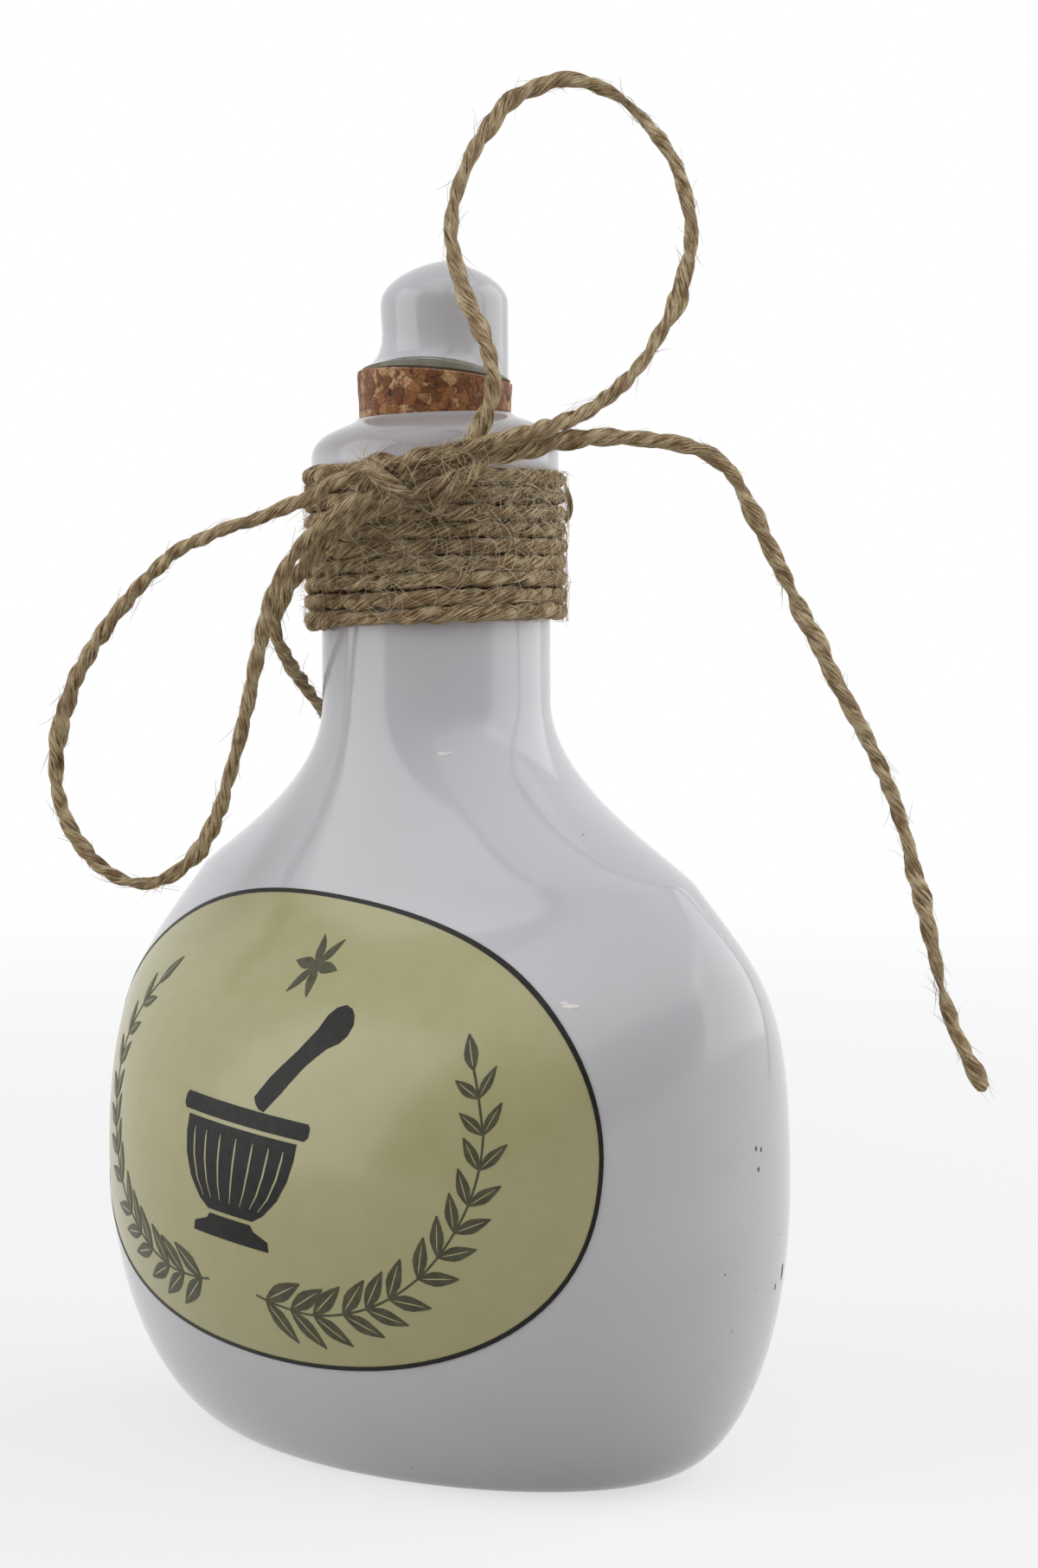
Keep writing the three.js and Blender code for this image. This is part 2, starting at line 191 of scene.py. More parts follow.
def make_glaze(name, shade, white, rim=None):
    """Glaze over white clay; rim is the level in metres above which painted shade greys it."""
    material, tree, shader = new_material(name)
    place = add_node(tree, "ShaderNodeTexCoord").outputs["Object"]
    cloud = add_node(tree, "ShaderNodeTexNoise", {
        "Vector": place, "Scale": cycles(CLOUD_MM), "Detail": 3.0})
    tone = add_node(tree, "ShaderNodeValToRGB", {"Fac": cloud.outputs["Fac"]})
    set_ramp(tone, [(0.35, shade), (0.65, white)])
    colour = tone.outputs["Color"]
    if rim:
        # Painted shade: the glaze greys towards the top of the lip.
        level = add_node(tree, "ShaderNodeSeparateXYZ", {"Vector": place}).outputs["Z"]
        lip_shade = add_node(tree, "ShaderNodeMapRange", {
            "Value": level, "From Min": rim, "From Max": rim + RIM_FADE},
            interpolation_type="SMOOTHSTEP")
        lip_shaded = add_node(tree, "ShaderNodeMixRGB", {
            "Fac": lip_shade.outputs["Result"], "Color1": colour, "Color2": linear(GLAZE_RIM_PAINTED_SHADE)})
        colour = lip_shaded.outputs["Color"]
    grains = add_node(tree, "ShaderNodeTexNoise", {
        "Vector": place, "Scale": cycles(PINHOLE_MM), "Detail": 1.0})
    specks = add_node(tree, "ShaderNodeValToRGB", {"Fac": grains.outputs["Fac"]})
    set_ramp(specks, [(0.80, "#000000"), (0.82, "#FFFFFF")])
    mix = add_node(tree, "ShaderNodeMixRGB", {
        "Fac": specks.outputs["Color"], "Color1": colour, "Color2": linear(GLAZE_SPECK)})
    tree.links.new(mix.outputs["Color"], shader.inputs["Base Color"])
    waves = add_node(tree, "ShaderNodeTexNoise", {
        "Vector": place, "Scale": cycles(WAVE_MM), "Detail": 2.0})
    bump = add_node(tree, "ShaderNodeBump", {
        "Height": waves.outputs["Fac"], "Strength": 0.12, "Distance": WAVE_DEPTH})
    tree.links.new(bump.outputs["Normal"], shader.inputs["Normal"])
    shader.inputs["Roughness"].default_value = GLAZE_ROUGHNESS
    shader.inputs["IOR"].default_value = GLAZE_IOR
    return material


jar_glaze = make_glaze("clear_glaze_over_white", GLAZE_SHADE, GLAZE_WHITE, rim=RIM_LEVEL)
# Painted shade: the knob wears the darker copy of the glaze.
knob_glaze = make_glaze("clear_glaze_on_the_knob_painted_shade", KNOB_SHADE, KNOB_WHITE)
print("glazes:", jar_glaze.name, knob_glaze.name)

# %% [markdown]
# ## Jar body
#
# The jar's sections are ovals that swell to the belly, draw in to the shoulder and become
# round at the neck. A lathe can't turn an oval body, so the shape is grown from one ring
# of edges: extrude it, scale the new ring to its width and depth, and repeat, up the
# outside, over the lip and down the inside to the floor.

# %% Sizes of the jar, in millimetres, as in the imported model
FOOT, BELLY, SHOULDER = (38.0, 23.5), (58.0, 41.5), (47.0, 20.0)
NECK_RADIUS, LIP_RADIUS = 17.0, 18.35
BELLY_LEVEL, SHOULDER_LEVEL, NECK_ROOT = 41.7, 84.9, 110.7
LIP_UNDERSIDE, LIP_TOP = 144.6, 152.9
FOOT_TURN, SHOULDER_SLOPE = (0.62, 0.1), (1.0, 0.21)
FOOT_PULL, BELLY_PULL, SHOULDER_PULL, FLARE_PULL, NECK_PULL = 0.34, 0.65, 0.31, 0.12, 0.45
WALL, FLOOR, FOOT_RING, FOOT_RECESS = 4.2, 5.5, 4.5, 1.5
CORK_TOP, CORK_BOTTOM, CORK_RADII, CORK_CLEARANCE = 158.8, 134.8, (11.5, 10.4), 0.25
print("jar %.1f mm to the lip, wall %.1f mm" % (LIP_TOP, WALL))

# %% Outline of the jar
def bezier(a, b, c, d, t):
    s = 1 - t
    return s ** 3 * a + 3 * s * s * t * b + 3 * s * t * t * c + t ** 3 * d


def bezier_slope(a, b, c, d, t):
    s = 1 - t
    return 3 * s * s * (b - a) + 6 * s * t * (c - b) + 3 * t * t * (d - c)


def outline_controls(side):
    """Curves of reach and level for the three spans, seen from the front (0) or the side (1)."""
    foot, belly, shoulder, slope = FOOT[side], BELLY[side], SHOULDER[side], SHOULDER_SLOPE[side]
    rise, flare = SHOULDER_LEVEL - BELLY_LEVEL, NECK_ROOT - SHOULDER_LEVEL
    below, above = rise * SHOULDER_PULL, flare * FLARE_PULL
    return [
        ((foot, foot + (belly - foot) * FOOT_TURN[side], belly, belly),
         (0, 0, BELLY_LEVEL * FOOT_PULL, BELLY_LEVEL)),
        ((belly, belly, shoulder + slope * below, shoulder),
         (BELLY_LEVEL, BELLY_LEVEL + rise * BELLY_PULL, SHOULDER_LEVEL - below, SHOULDER_LEVEL)),
        ((shoulder, shoulder - slope * above, NECK_RADIUS, NECK_RADIUS),
         (SHOULDER_LEVEL, SHOULDER_LEVEL + above, NECK_ROOT - flare * NECK_PULL, NECK_ROOT)),
    ]


ACROSS, DEEP = outline_controls(0), outline_controls(1)


def outer_ring(span, t):
    """Half width, half depth and height of the body at a share of one span."""
    return bezier(*ACROSS[span][0], t), bezier(*DEEP[span][0], t), bezier(*ACROSS[span][1], t)


def inner_ring(span, t):
    """The same, one wall further in."""
    across, deep, z = outer_ring(span, t)
    run = bezier_slope(*ACROSS[span][0], t) + bezier_slope(*DEEP[span][0], t)
    rise = 2 * bezier_slope(*ACROSS[span][1], t)
    length = math.hypot(run, rise)
    inset = WALL * rise / length
    return across - inset, deep - inset, z + WALL * run / length


def ring_at(height):
    span = 0 if height < BELLY_LEVEL else 1 if height < SHOULDER_LEVEL else 2
    low, high = 0.0, 1.0
    for _ in range(30):
        middle = (low + high) / 2
        if bezier(*ACROSS[span][1], middle) < height:
            low = middle
        else:
            high = middle
    return outer_ring(span, low)


print("belly %.1f by %.1f mm" % tuple(2 * v for v in ring_at(BELLY_LEVEL)[:2]))

# %% Rings of the jar
OUTER_STEPS, INNER_STEPS, LIP_STEPS = (26, 30, 22), (14, 16, 14), 14
LIP_FOOT = [(17.1, 144.25), (17.5, 144.42), (18.0, 144.6), (18.28, 145.1)]


def cork_radius(height):
    share = (CORK_TOP - height) / (CORK_TOP - CORK_BOTTOM)
    return CORK_RADII[0] + (CORK_RADII[1] - CORK_RADII[0]) * share


def bore_radius(height):
    return cork_radius(height) + CORK_CLEARANCE


def jar_rings():
    recess = (FOOT[0] - FOOT_RING, FOOT[1] - FOOT_RING)
    rings = [(recess[0] * 0.5, recess[1] * 0.5, FOOT_RECESS),
             (recess[0] - 2.0, recess[1] - 2.0, FOOT_RECESS),
             (recess[0] - 0.5, recess[1] - 0.5, 0.35), (recess[0] + 0.4, recess[1] + 0.4, 0.0)]
    for span, count in enumerate(OUTER_STEPS):
        rings += [outer_ring(span, i / count) for i in range(count)]
    rings += [(NECK_RADIUS, NECK_RADIUS, z) for z in (NECK_ROOT, 122.0, 133.0, 143.8)]
    rings += [(r, r, z) for r, z in LIP_FOOT]
    mouth = bore_radius(LIP_TOP)
    land, drop = LIP_RADIUS - mouth, (LIP_TOP - LIP_UNDERSIDE) * 0.8
    for i in range(LIP_STEPS + 1):
        t = i / LIP_STEPS
        r = bezier(LIP_RADIUS, LIP_RADIUS + land * 0.05, mouth + land * 0.12, mouth, t)
        z = bezier(LIP_TOP - drop, LIP_TOP - drop * 0.2, LIP_TOP - drop * 0.2, LIP_TOP, t)
        rings.append((r, r, z))
    bore_foot = CORK_BOTTOM - CORK_CLEARANCE
    bore, inside = bore_radius(bore_foot), NECK_RADIUS - WALL
    rings.append((mouth - 0.12, mouth - 0.12, LIP_TOP - 0.25))
    rings.append((bore, bore, bore_foot))
    rings.append((inside, inside, bore_foot - WALL))
    for span in (2, 1, 0):
        count = INNER_STEPS[span]
        inner = [inner_ring(span, i / count) for i in range(count, 0, -1)]
        rings += [ring for ring in inner if ring[2] > FLOOR + WALL / 2]
    last = rings[-1]
    rings.append((last[0] - WALL / 2, last[1] - WALL / 2, FLOOR + WALL / 8))
    rings.append((last[0] - WALL, last[1] - WALL, FLOOR))
    rings.append((last[0] * 0.4, last[1] * 0.4, FLOOR))
    return rings


print("rings from foot to floor:", len(jar_rings()))

# %% [markdown]
# The same growing also makes the cork, the glue and the knob, so it is one function. A Screw
# modifier could turn the round pieces, but not the oval jar, and one way for all is easier to
# follow. The lip of the real jar leans a little, so its points are tilted afterwards.

# %% Grow a shape from rings
def grown(name, rings, sides):
    """A closed shape grown ring by ring; rings are half width, half depth and height in mm."""
    nothing_selected()
    bpy.ops.mesh.primitive_circle_add(vertices=sides, radius=1.0, fill_type="TRIFAN")
    piece = bpy.context.object
    piece.name = piece.data.name = name
    bpy.ops.object.mode_set(mode="EDIT")
    bpy.ops.mesh.select_all(action="SELECT")
    across, deep, z = (v * MM for v in rings[0])
    bpy.ops.transform.resize(value=(across, deep, 1.0), center_override=(0, 0, 0))
    bpy.ops.transform.translate(value=(0, 0, z))
    bpy.ops.mesh.region_to_loop()
    for ring in rings[1:]:
        new_across, new_deep, new_z = (v * MM for v in ring)
        bpy.ops.mesh.extrude_edges_move(TRANSFORM_OT_translate={"value": (0, 0, new_z - z)})
        bpy.ops.transform.resize(
            value=(new_across / across, new_deep / deep, 1.0), center_override=(0, 0, new_z))
        across, deep, z = new_across, new_deep, new_z
    bpy.ops.mesh.extrude_edges_move(TRANSFORM_OT_translate={"value": (0, 0, 0)})
    bpy.ops.mesh.merge(type="CENTER")
    face_outwards()
    return piece


def lean_levels(piece, low, high, slope):
    """Tilt the levels from low to high, in mm, more and more towards the slope to the right."""
    for vertex in piece.data.vertices:
        share = min(1.0, max(0.0, (vertex.co.z / MM - low) / (high - low)))
        vertex.co.z += slope * share * vertex.co.dot(RIGHT)


RIGHT = Vector((math.cos(bearing), math.sin(bearing), 0))
JAR_SIDES, LIP_SLOPE, LEAN_FROM, LEAN_TO = 128, 0.036, LIP_UNDERSIDE + 0.6, LIP_TOP - 1.6
jar = grown("jar_glazed", jar_rings(), JAR_SIDES)
lean_levels(jar, LEAN_FROM, LEAN_TO, LIP_SLOPE)
wear(jar, jar_glaze)
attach(jar, "jar")
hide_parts("jar_body")
print("jar faces:", len(jar.data.polygons), "height %.1f mm" % (jar.dimensions.z / MM))

# %% [markdown]
# A fired piece is never quite clean: a few iron specks came through the glaze low on the
# right. Two pale glints higher up are painted highlights of the glaze. Each is a small
# flattened drop. The picture shows where they are, so a ray from the camera through that
# spot finds its place on the jar. The specks look dull and dark beside the glaze, and the
# painted glints a little whiter than it.

# %% Specks and painted glints in the glaze
# Each drop is a spot in the picture's pixels and two half sizes in millimetres.
SPECKS = [
    (874, 1328, 0.3, 0.4), (880, 1329, 0.26, 0.4), (877, 1352, 0.3, 0.4),
    (904, 1471, 0.5, 1.3), (896, 1488, 0.26, 0.5)]
# Pale glints: painted highlights, as small whiter drops on the glaze.
PAINTED_GLINTS = [
    (512, 872, 0.8, 0.35), (519, 871, 0.5, 0.2), (660, 1164, 1.3, 0.4), (652, 1160, 0.6, 0.3)]
DROP_RISE, FIRED_ROUGHNESS = 0.09 * MM, 0.3


def drops_on_jar(name, drops, material):
    """Flattened drops where rays from the camera through their spots meet the jar."""
    bpy.context.view_layer.update()
    camera_turn = camera.rotation_euler.to_matrix()
    pieces = []
    for x, y, across, tall in drops:
        ray = Vector((x - PICTURE_WIDTH / 2, PICTURE_HEIGHT / 2 - y, -FOCAL_PIXELS))
        _, place, outward, _ = jar.ray_cast(camera.location, camera_turn @ ray)
        nothing_selected()
        bpy.ops.mesh.primitive_uv_sphere_add(
            segments=12, ring_count=6, location=place,
            rotation=outward.to_track_quat("Z", "Y").to_euler(),
            scale=(across * MM, tall * MM, DROP_RISE))
        bpy.ops.object.transform_apply(location=True, rotation=True, scale=True)
        bpy.ops.object.shade_smooth()
        pieces.append(bpy.context.object)
    joined = join_as(name, pieces)
    wear(joined, material)
    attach(joined, "jar")


def make_mottled(name, low, high, grain_mm, detail, roughness):
    """A finish that wanders between two tones at the size of its grain."""
    material, tree, shader = new_material(name)
    place = add_node(tree, "ShaderNodeTexCoord").outputs["Object"]
    mottle = add_node(tree, "ShaderNodeTexNoise", {
        "Vector": place, "Scale": cycles(grain_mm), "Detail": detail})
    tone = add_node(tree, "ShaderNodeValToRGB", {"Fac": mottle.outputs["Fac"]})
    set_ramp(tone, [(0.35, low), (0.65, high)])
    tree.links.new(tone.outputs["Color"], shader.inputs["Base Color"])
    shader.inputs["Roughness"].default_value = roughness
    return material, shader


iron_speck, _ = make_mottled("iron_speck", "#4E4640", "#6A625A", 0.3, 2.0, FIRED_ROUGHNESS)
# Painted highlight: the glints' finish is whiter than the glaze.
painted_glint, _ = make_mottled("painted_glint_on_glaze", "#E4DED8", "#F2EEEA", 0.5, 2.0, FIRED_ROUGHNESS)
drops_on_jar("glaze_iron_specks", SPECKS, iron_speck)
drops_on_jar("glaze_painted_glints", PAINTED_GLINTS, painted_glint)
print("specks and painted glints:", len(SPECKS) + len(PAINTED_GLINTS))

# %% [markdown]
# ## Label
#
# The label is a thin printed film that follows the curved front. It is easiest to draw it
# flat, as a printer would, then cut the flat shapes into small tiles and carry each corner
# to its spot on the jar, measured along the surface. The drawing is a plain apothecary
# sign: a mortar and pestle between two leafy sprigs, inside a thin black border.

# %% From the flat drawing to the curved front
LABEL_HALF = (56.3, 32.0)
LABEL_CENTRE, LABEL_TILT, LABEL_SQUARENESS = 51.0, math.radians(-5.5), 2.15
TILE = 2.0


def angle_along(across, deep, distance):
    """Angle on an oval ring at a distance walked along it from the front, right positive."""
    step = math.copysign(2 * math.pi / 360, distance)
    angle, left = -math.pi / 2, abs(distance)
    while left > 0:
        pace = abs(step) * math.hypot(across * math.sin(angle), deep * math.cos(angle))
        angle += step * min(1.0, left / pace)
        left -= pace
    return angle


def front_spot(x, y, lift):
    """Place on the jar's front for a spot of the flat drawing, all in millimetres."""
    along = x * math.cos(LABEL_TILT) - y * math.sin(LABEL_TILT)
    height = LABEL_CENTRE + x * math.sin(LABEL_TILT) + y * math.cos(LABEL_TILT)
    across, deep, _ = ring_at(height)
    next_across, next_deep, _ = ring_at(height + 0.1)
    angle = angle_along(across, deep, along)
    c, s = math.cos(angle), math.sin(angle)
    lean = (c * c * (next_across - across) / across + s * s * (next_deep - deep) / deep) / 0.1
    outward = Vector((c / across, s / deep, -lean)).normalized()
    return Vector((across * c, deep * s, height)) + outward * lift


def lay_on_front(piece, lift, thick, material):
    """Cut a flat shape into tiles, carry it to the front and give it the film's thickness."""
    work_on(piece)
    reach = [max(abs(v.co[axis]) for v in piece.data.vertices) / MM for axis in (0, 1)]
    bpy.ops.object.mode_set(mode="EDIT")
    for axis in (0, 1):
        count = int(reach[axis] / TILE)
        for i in range(-count, count + 1):
            bpy.ops.mesh.select_all(action="SELECT")
            place = [0.0, 0.0, 0.0]
            place[axis] = i * TILE * MM
            bpy.ops.mesh.bisect(plane_co=place, plane_no=(1 - axis, axis, 0))
    bpy.ops.object.mode_set(mode="OBJECT")
    for vertex in piece.data.vertices:
        vertex.co = front_spot(vertex.co.x / MM, vertex.co.y / MM, lift) * MM
    film = piece.modifiers.new("film", "SOLIDIFY")
    film.thickness, film.offset = thick * MM, 1.0
    bpy.ops.object.modifier_apply(modifier="film")
    bpy.ops.object.mode_set(mode="EDIT")
    face_outwards()
    wear(piece, material)
    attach(piece, "jar")


print("front spot of the label's middle:", [round(c, 1) for c in front_spot(0, 0, 0)])

# %% [markdown]
# The print is a pale yellow-green ink coat, sealed under a thin clear layer, so it shines
# a little less than the glaze. Dark ink lies on it, in black and in a softer olive grey.

# %% Print materials
PRINT_PALE, PRINT_AGED = "#B0AC7F", "#ADA87A"
INK_BLACK, INK_BLACK_THIN = "#191817", "#242321"
INK_OLIVE, INK_OLIVE_THIN = "#4B4A38", "#5A5945"
PRINT_IOR = 1.48


def make_print(name, low, high, grain_mm, roughness, shine):
    """A dried coat of ink or glue; shine is how strongly its surface reflects."""
    material, shader = make_mottled(name, low, high, grain_mm, 4.0, roughness)
    shader.inputs["IOR"].default_value = PRINT_IOR
    shader.inputs["Specular IOR Level"].default_value = shine
    return material


print_pale = make_print("label_pale_ink", PRINT_AGED, PRINT_PALE, 4, 0.22, 0.5)
ink_black = make_print("label_black_ink", INK_BLACK, INK_BLACK_THIN, 1.5, 0.4, 0.2)
ink_olive = make_print("label_olive_ink", INK_OLIVE, INK_OLIVE_THIN, 1.5, 0.4, 0.2)
print("prints:", print_pale.name, ink_black.name, ink_olive.name)

# %% [markdown]
# The film is one oval face, and the border is a thin ring of the same oval. A texture could
# print both on the jar, but shapes of their own keep a sharp edge from close by, and each can
# be picked out by its name.

# %% Film and border
LABEL_SIDES, BORDER = 128, 0.62
FILM_LIFT, FILM_THICK = 0.04, 0.06
INK_LIFT, INK_THICK = 0.14, 0.03


def oval_edge(name, fill):
    """A flat oval of edges or one face, a touch squarer than an ellipse, at the label's size."""
    nothing_selected()
    bpy.ops.mesh.primitive_circle_add(vertices=LABEL_SIDES, radius=1.0, fill_type=fill)
    piece = bpy.context.object
    piece.name = piece.data.name = name
    for vertex in piece.data.vertices:
        x, y = abs(vertex.co.x), abs(vertex.co.y)
        vertex.co /= (x ** LABEL_SQUARENESS + y ** LABEL_SQUARENESS) ** (1 / LABEL_SQUARENESS)
    bpy.ops.object.mode_set(mode="EDIT")
    bpy.ops.mesh.select_all(action="SELECT")
    bpy.ops.transform.resize(
        value=(LABEL_HALF[0] * MM, LABEL_HALF[1] * MM, 1), center_override=(0, 0, 0))
    return piece


film = oval_edge("label_film", "NGON")
lay_on_front(film, FILM_LIFT, FILM_THICK, print_pale)
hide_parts("label_decal")

border = oval_edge("label_border", "NOTHING")
bpy.ops.mesh.extrude_edges_move(TRANSFORM_OT_translate={"value": (0, 0, 0)})
bpy.ops.transform.resize(
    value=tuple(1 - BORDER / half for half in LABEL_HALF) + (1,), center_override=(0, 0, 0))
lay_on_front(border, INK_LIFT, INK_THICK, ink_black)
print("label faces:", len(film.data.polygons), len(border.data.polygons))

# %% [markdown]
# Each flat sign is grown from one edge: extrude it, scale the new edge, repeat. Rows of
# half width and height are enough for a mortar, a pestle or a leaf, since each of them is
# the same on both sides of its axis.

# %% Flat shapes grown from an edge
def grown_strip(name, rows):
    """A flat shape, the same on both sides of the Y axis; rows are half width and height in mm."""
    nothing_selected()
    bpy.ops.mesh.primitive_plane_add(size=2.0)
    piece = bpy.context.object
    piece.name = piece.data.name = name
    bpy.ops.object.mode_set(mode="EDIT")
    bpy.ops.mesh.select_all(action="DESELECT")
    shape = bmesh.from_edit_mesh(piece.data)
    for vertex in shape.verts:
        vertex.select_set(vertex.co.y > 0)
    bmesh.update_edit_mesh(piece.data)
    bpy.ops.mesh.delete(type="VERT")
    bpy.ops.mesh.select_all(action="SELECT")
    half, level = rows[0][0] * MM, rows[0][1] * MM
    bpy.ops.transform.resize(value=(half, 1, 1), center_override=(0, 0, 0))
    bpy.ops.transform.translate(value=(0, level + 1, 0))
    for row in rows[1:]:
        new_half, new_level = (v * MM for v in row)
        bpy.ops.mesh.extrude_edges_move(
            TRANSFORM_OT_translate={"value": (0, new_level - level, 0)})
        bpy.ops.transform.resize(
            value=(new_half / half, 1, 1), center_override=(0, new_level, 0))
        half, level = new_half, new_level
    bpy.ops.object.mode_set(mode="OBJECT")
    return piece


def copies_of(pattern, places, name):
    """Copies of a flat shape, each with its own mesh, joined into one piece."""
    copies = []
    for place in places:
        copy = bpy.data.objects.new(pattern.name, pattern.data.copy())
        copy.data.transform(place)
        bpy.context.scene.collection.objects.link(copy)
        copies.append(copy)
    return join_as(name, copies)


def placed(x, y, degrees, size=1.0):
    turn = Matrix.Rotation(math.radians(degrees), 4, "Z")
    return Matrix.Translation((x * MM, y * MM, 0)) @ turn @ Matrix.Scale(size, 4)


print("flat shapes are grown row by row")

# %% Mortar and pestle
MORTAR_PARTS = [
    [(12.6, 3.4), (13.0, 2.8), (13.0, 1.6), (12.4, 1.0)],
    [(11.3, 0.4), (11.2, -2.0), (10.5, -5.0), (9.0, -8.0), (6.6, -10.6), (4.6, -11.8)],
    [(4.2, -12.4), (4.8, -13.2), (7.6, -14.2), (7.8, -15.6)],
]
PESTLE = [(0.5, 0.0), (1.5, 0.4), (1.7, 4.0), (1.5, 9.0), (1.9, 12.5), (2.7, 14.2), (2.7, 15.6),
          (1.9, 16.8), (0.6, 17.3)]
FLUTE = [(0.05, -1.0), (0.15, -2.2), (0.17, -5.0), (0.13, -8.0), (0.05, -10.2)]
FLUTE_SHARES = (-0.82, -0.58, -0.3, 0.0, 0.3, 0.58, 0.82)
LINE_LIFT, LINE_THICK = 0.175, 0.02


def bowl_half(level):
    """Half width of the bowl at a level of the drawing, in mm."""
    rows = MORTAR_PARTS[1]
    for (half, high), (next_half, low) in zip(rows, rows[1:]):
        if level >= low:
            return half + (next_half - half) * (high - level) / (high - low)
    return rows[-1][0]


mortar_bits = [grown_strip("mortar_%d" % i, rows) for i, rows in enumerate(MORTAR_PARTS)]
pestle = grown_strip("pestle", PESTLE)
pestle.data.transform(placed(2.6, 4.0, -34))
sign = join_as("label_mortar", [pestle] + mortar_bits)
lay_on_front(sign, INK_LIFT, INK_THICK, ink_black)

flute_bits = []
for share in FLUTE_SHARES:
    flute = grown_strip("flute", FLUTE)
    for vertex in flute.data.vertices:
        vertex.co.x += share * bowl_half(vertex.co.y / MM) * MM
    flute_bits.append(flute)
flutes = join_as("label_mortar_flutes", flute_bits)
lay_on_front(flutes, LINE_LIFT, LINE_THICK, print_pale)
print("mortar faces:", len(sign.data.polygons), "flutes:", len(FLUTE_SHARES))

# %% [markdown]
# A sprig is one leaf, drawn once and copied along a bent stem, smaller towards the tip. An
# Array modifier would repeat it at one size, so a list of places is worked out first, and the
# other sprig is the mirror image of that list.

# %% Leafy sprigs
LEAF = [(0.12, 0.0), (0.75, 1.2), (1.25, 2.8), (1.2, 4.0), (0.75, 5.6), (0.12, 7.2)]
VEIN = [(0.03, 0.9), (0.1, 2.0), (0.1, 4.4), (0.03, 6.0)]
STEM = [(0.16, 0.0), (0.16, 1.0)]
SPRIG = [(5.0, -22.4), (14.0, -23.2), (24.0, -20.4), (33.0, -13.6), (38.5, -3.6), (39.0, 6.0),
         (35.0, 14.0)]
SPRIG_STEPS, SPRIG_LENGTH, STEM_LIFT, STEM_OVERLAP = 8, 62, 0.13, 1.04
FIRST_LEAF, LEAF_GAP, LEAF_LEAN, LEAF_SIZE, LEAF_SHRINK, TIP_SIZE = 2.0, 4.6, 38, 1.05, 0.45, 0.75
FLOWER_LEVEL, PETALS, PETAL_SIZE = 22.6, 6, 0.62

stem_route = []
for i in range(len(SPRIG) - 1):
    a, b = Vector(SPRIG[max(i - 1, 0)]), Vector(SPRIG[i])
    c, d = Vector(SPRIG[i + 1]), Vector(SPRIG[min(i + 2, len(SPRIG) - 1)])
    for k in range(SPRIG_STEPS):
        share = k / SPRIG_STEPS
        stem_route.append(b.lerp(c, share) + share * (1 - share) * ((c - a) - (d - b)) * 0.25)
stem_route.append(Vector(SPRIG[-1]))

leaf_places, stem_places = [], []
for flip in (Matrix.Identity(4), Matrix.Scale(-1, 4, (1, 0, 0))):
    walked, due = 0.0, FIRST_LEAF
    for here, there in zip(stem_route, stem_route[1:]):
        run = there - here
        heading = math.degrees(math.atan2(run.y, run.x)) - 90
        stretch = Matrix.Scale(run.length * STEM_OVERLAP, 4, (0, 1, 0))
        stem_places.append(flip @ placed(here.x, here.y, heading) @ stretch)
        walked += run.length
        if walked > due:
            size = LEAF_SIZE - LEAF_SHRINK * walked / SPRIG_LENGTH
            for lean in (LEAF_LEAN, -LEAF_LEAN):
                leaf_places.append(flip @ placed(here.x, here.y, heading + lean, size))
            due += LEAF_GAP
    leaf_places.append(flip @ placed(stem_route[-1].x, stem_route[-1].y, heading, TIP_SIZE))
petals = [placed(0, FLOWER_LEVEL, 60 * i + 30, PETAL_SIZE) for i in range(PETALS)]

leaf = grown_strip("leaf", LEAF)
stem_bar = grown_strip("stem_bar", STEM)
sprigs = copies_of(leaf, leaf_places + petals, "label_sprigs")
lay_on_front(sprigs, INK_LIFT, INK_THICK, ink_olive)
vein = grown_strip("vein", VEIN)
veins = copies_of(vein, leaf_places, "label_leaf_veins")
lay_on_front(veins, LINE_LIFT, LINE_THICK, print_pale)
stems = copies_of(stem_bar, stem_places, "label_stems")
lay_on_front(stems, STEM_LIFT, INK_THICK, ink_olive)
for pattern in (leaf, vein, stem_bar):
    bpy.data.objects.remove(pattern)
print("leaves:", len(leaf_places) + len(petals))

# %% [markdown]
# ## Stopper
#
# The stopper is a tapered cork of pressed granules, and a glazed ceramic knob glued on
# top of it, a little askew. Cork and knob are turned shapes, grown from rings like the jar.
# The cork's top was cut slightly out of square, so cork, glue and knob foot lean together.

# %% Cork shape
TOP_SLOPE, ARCH_REACH = -0.085, 10.8 * MM
CHIP_LEVEL, CHIP_REACH, CHIP_SIZE, CHIP_DEPTH, CORK_GRAIN = 151.5 * MM, 8 * MM, 1.6 * MM, 0.55, 0.10
CORK_ARCH, CORK_ARCH_FROM, CORK_SIDES = 0.35 * MM, 154.0, 180
FRONT = Vector((math.sin(bearing), -math.cos(bearing), 0))


def arch(spot):
    """How much of the knob's arched foot shows: 1 in front and behind, 0 at the sides."""
    return min(1.0, (spot.dot(FRONT) / ARCH_REACH) ** 2)


cork_levels = [140.0, 146.0, 150.0] + [151.0 + 0.4 * i for i in range(19)]
cork_rings = [(5.0, 5.0, CORK_BOTTOM), (9.9, 9.9, CORK_BOTTOM), (10.4, 10.4, CORK_BOTTOM + 0.5)]
cork_rings += [(cork_radius(z), cork_radius(z), z) for z in cork_levels]
cork_rings += [(11.45, 11.45, 158.5), (11.2, 11.2, 158.72), (10.8, 10.8, CORK_TOP - 0.02)]
cork_rings += [(r, r, CORK_TOP) for r in (10.3, 9.6, 8.0, 4.0)]
cork = grown("cork_plug", cork_rings, CORK_SIDES)
for vertex in cork.data.vertices:
    if vertex.co.z > CHIP_LEVEL and math.hypot(vertex.co.x, vertex.co.y) > CHIP_REACH:
        spot = vertex.co / CHIP_SIZE
        outward = Vector((vertex.co.x, vertex.co.y, 0)).normalized()
        chip = min(0.0, noise.noise(spot * 1.3) + 0.22)
        vertex.co += outward * (CORK_GRAIN * noise.noise(spot) + CHIP_DEPTH * chip) * MM
lean_levels(cork, 150.0, CORK_TOP, TOP_SLOPE)
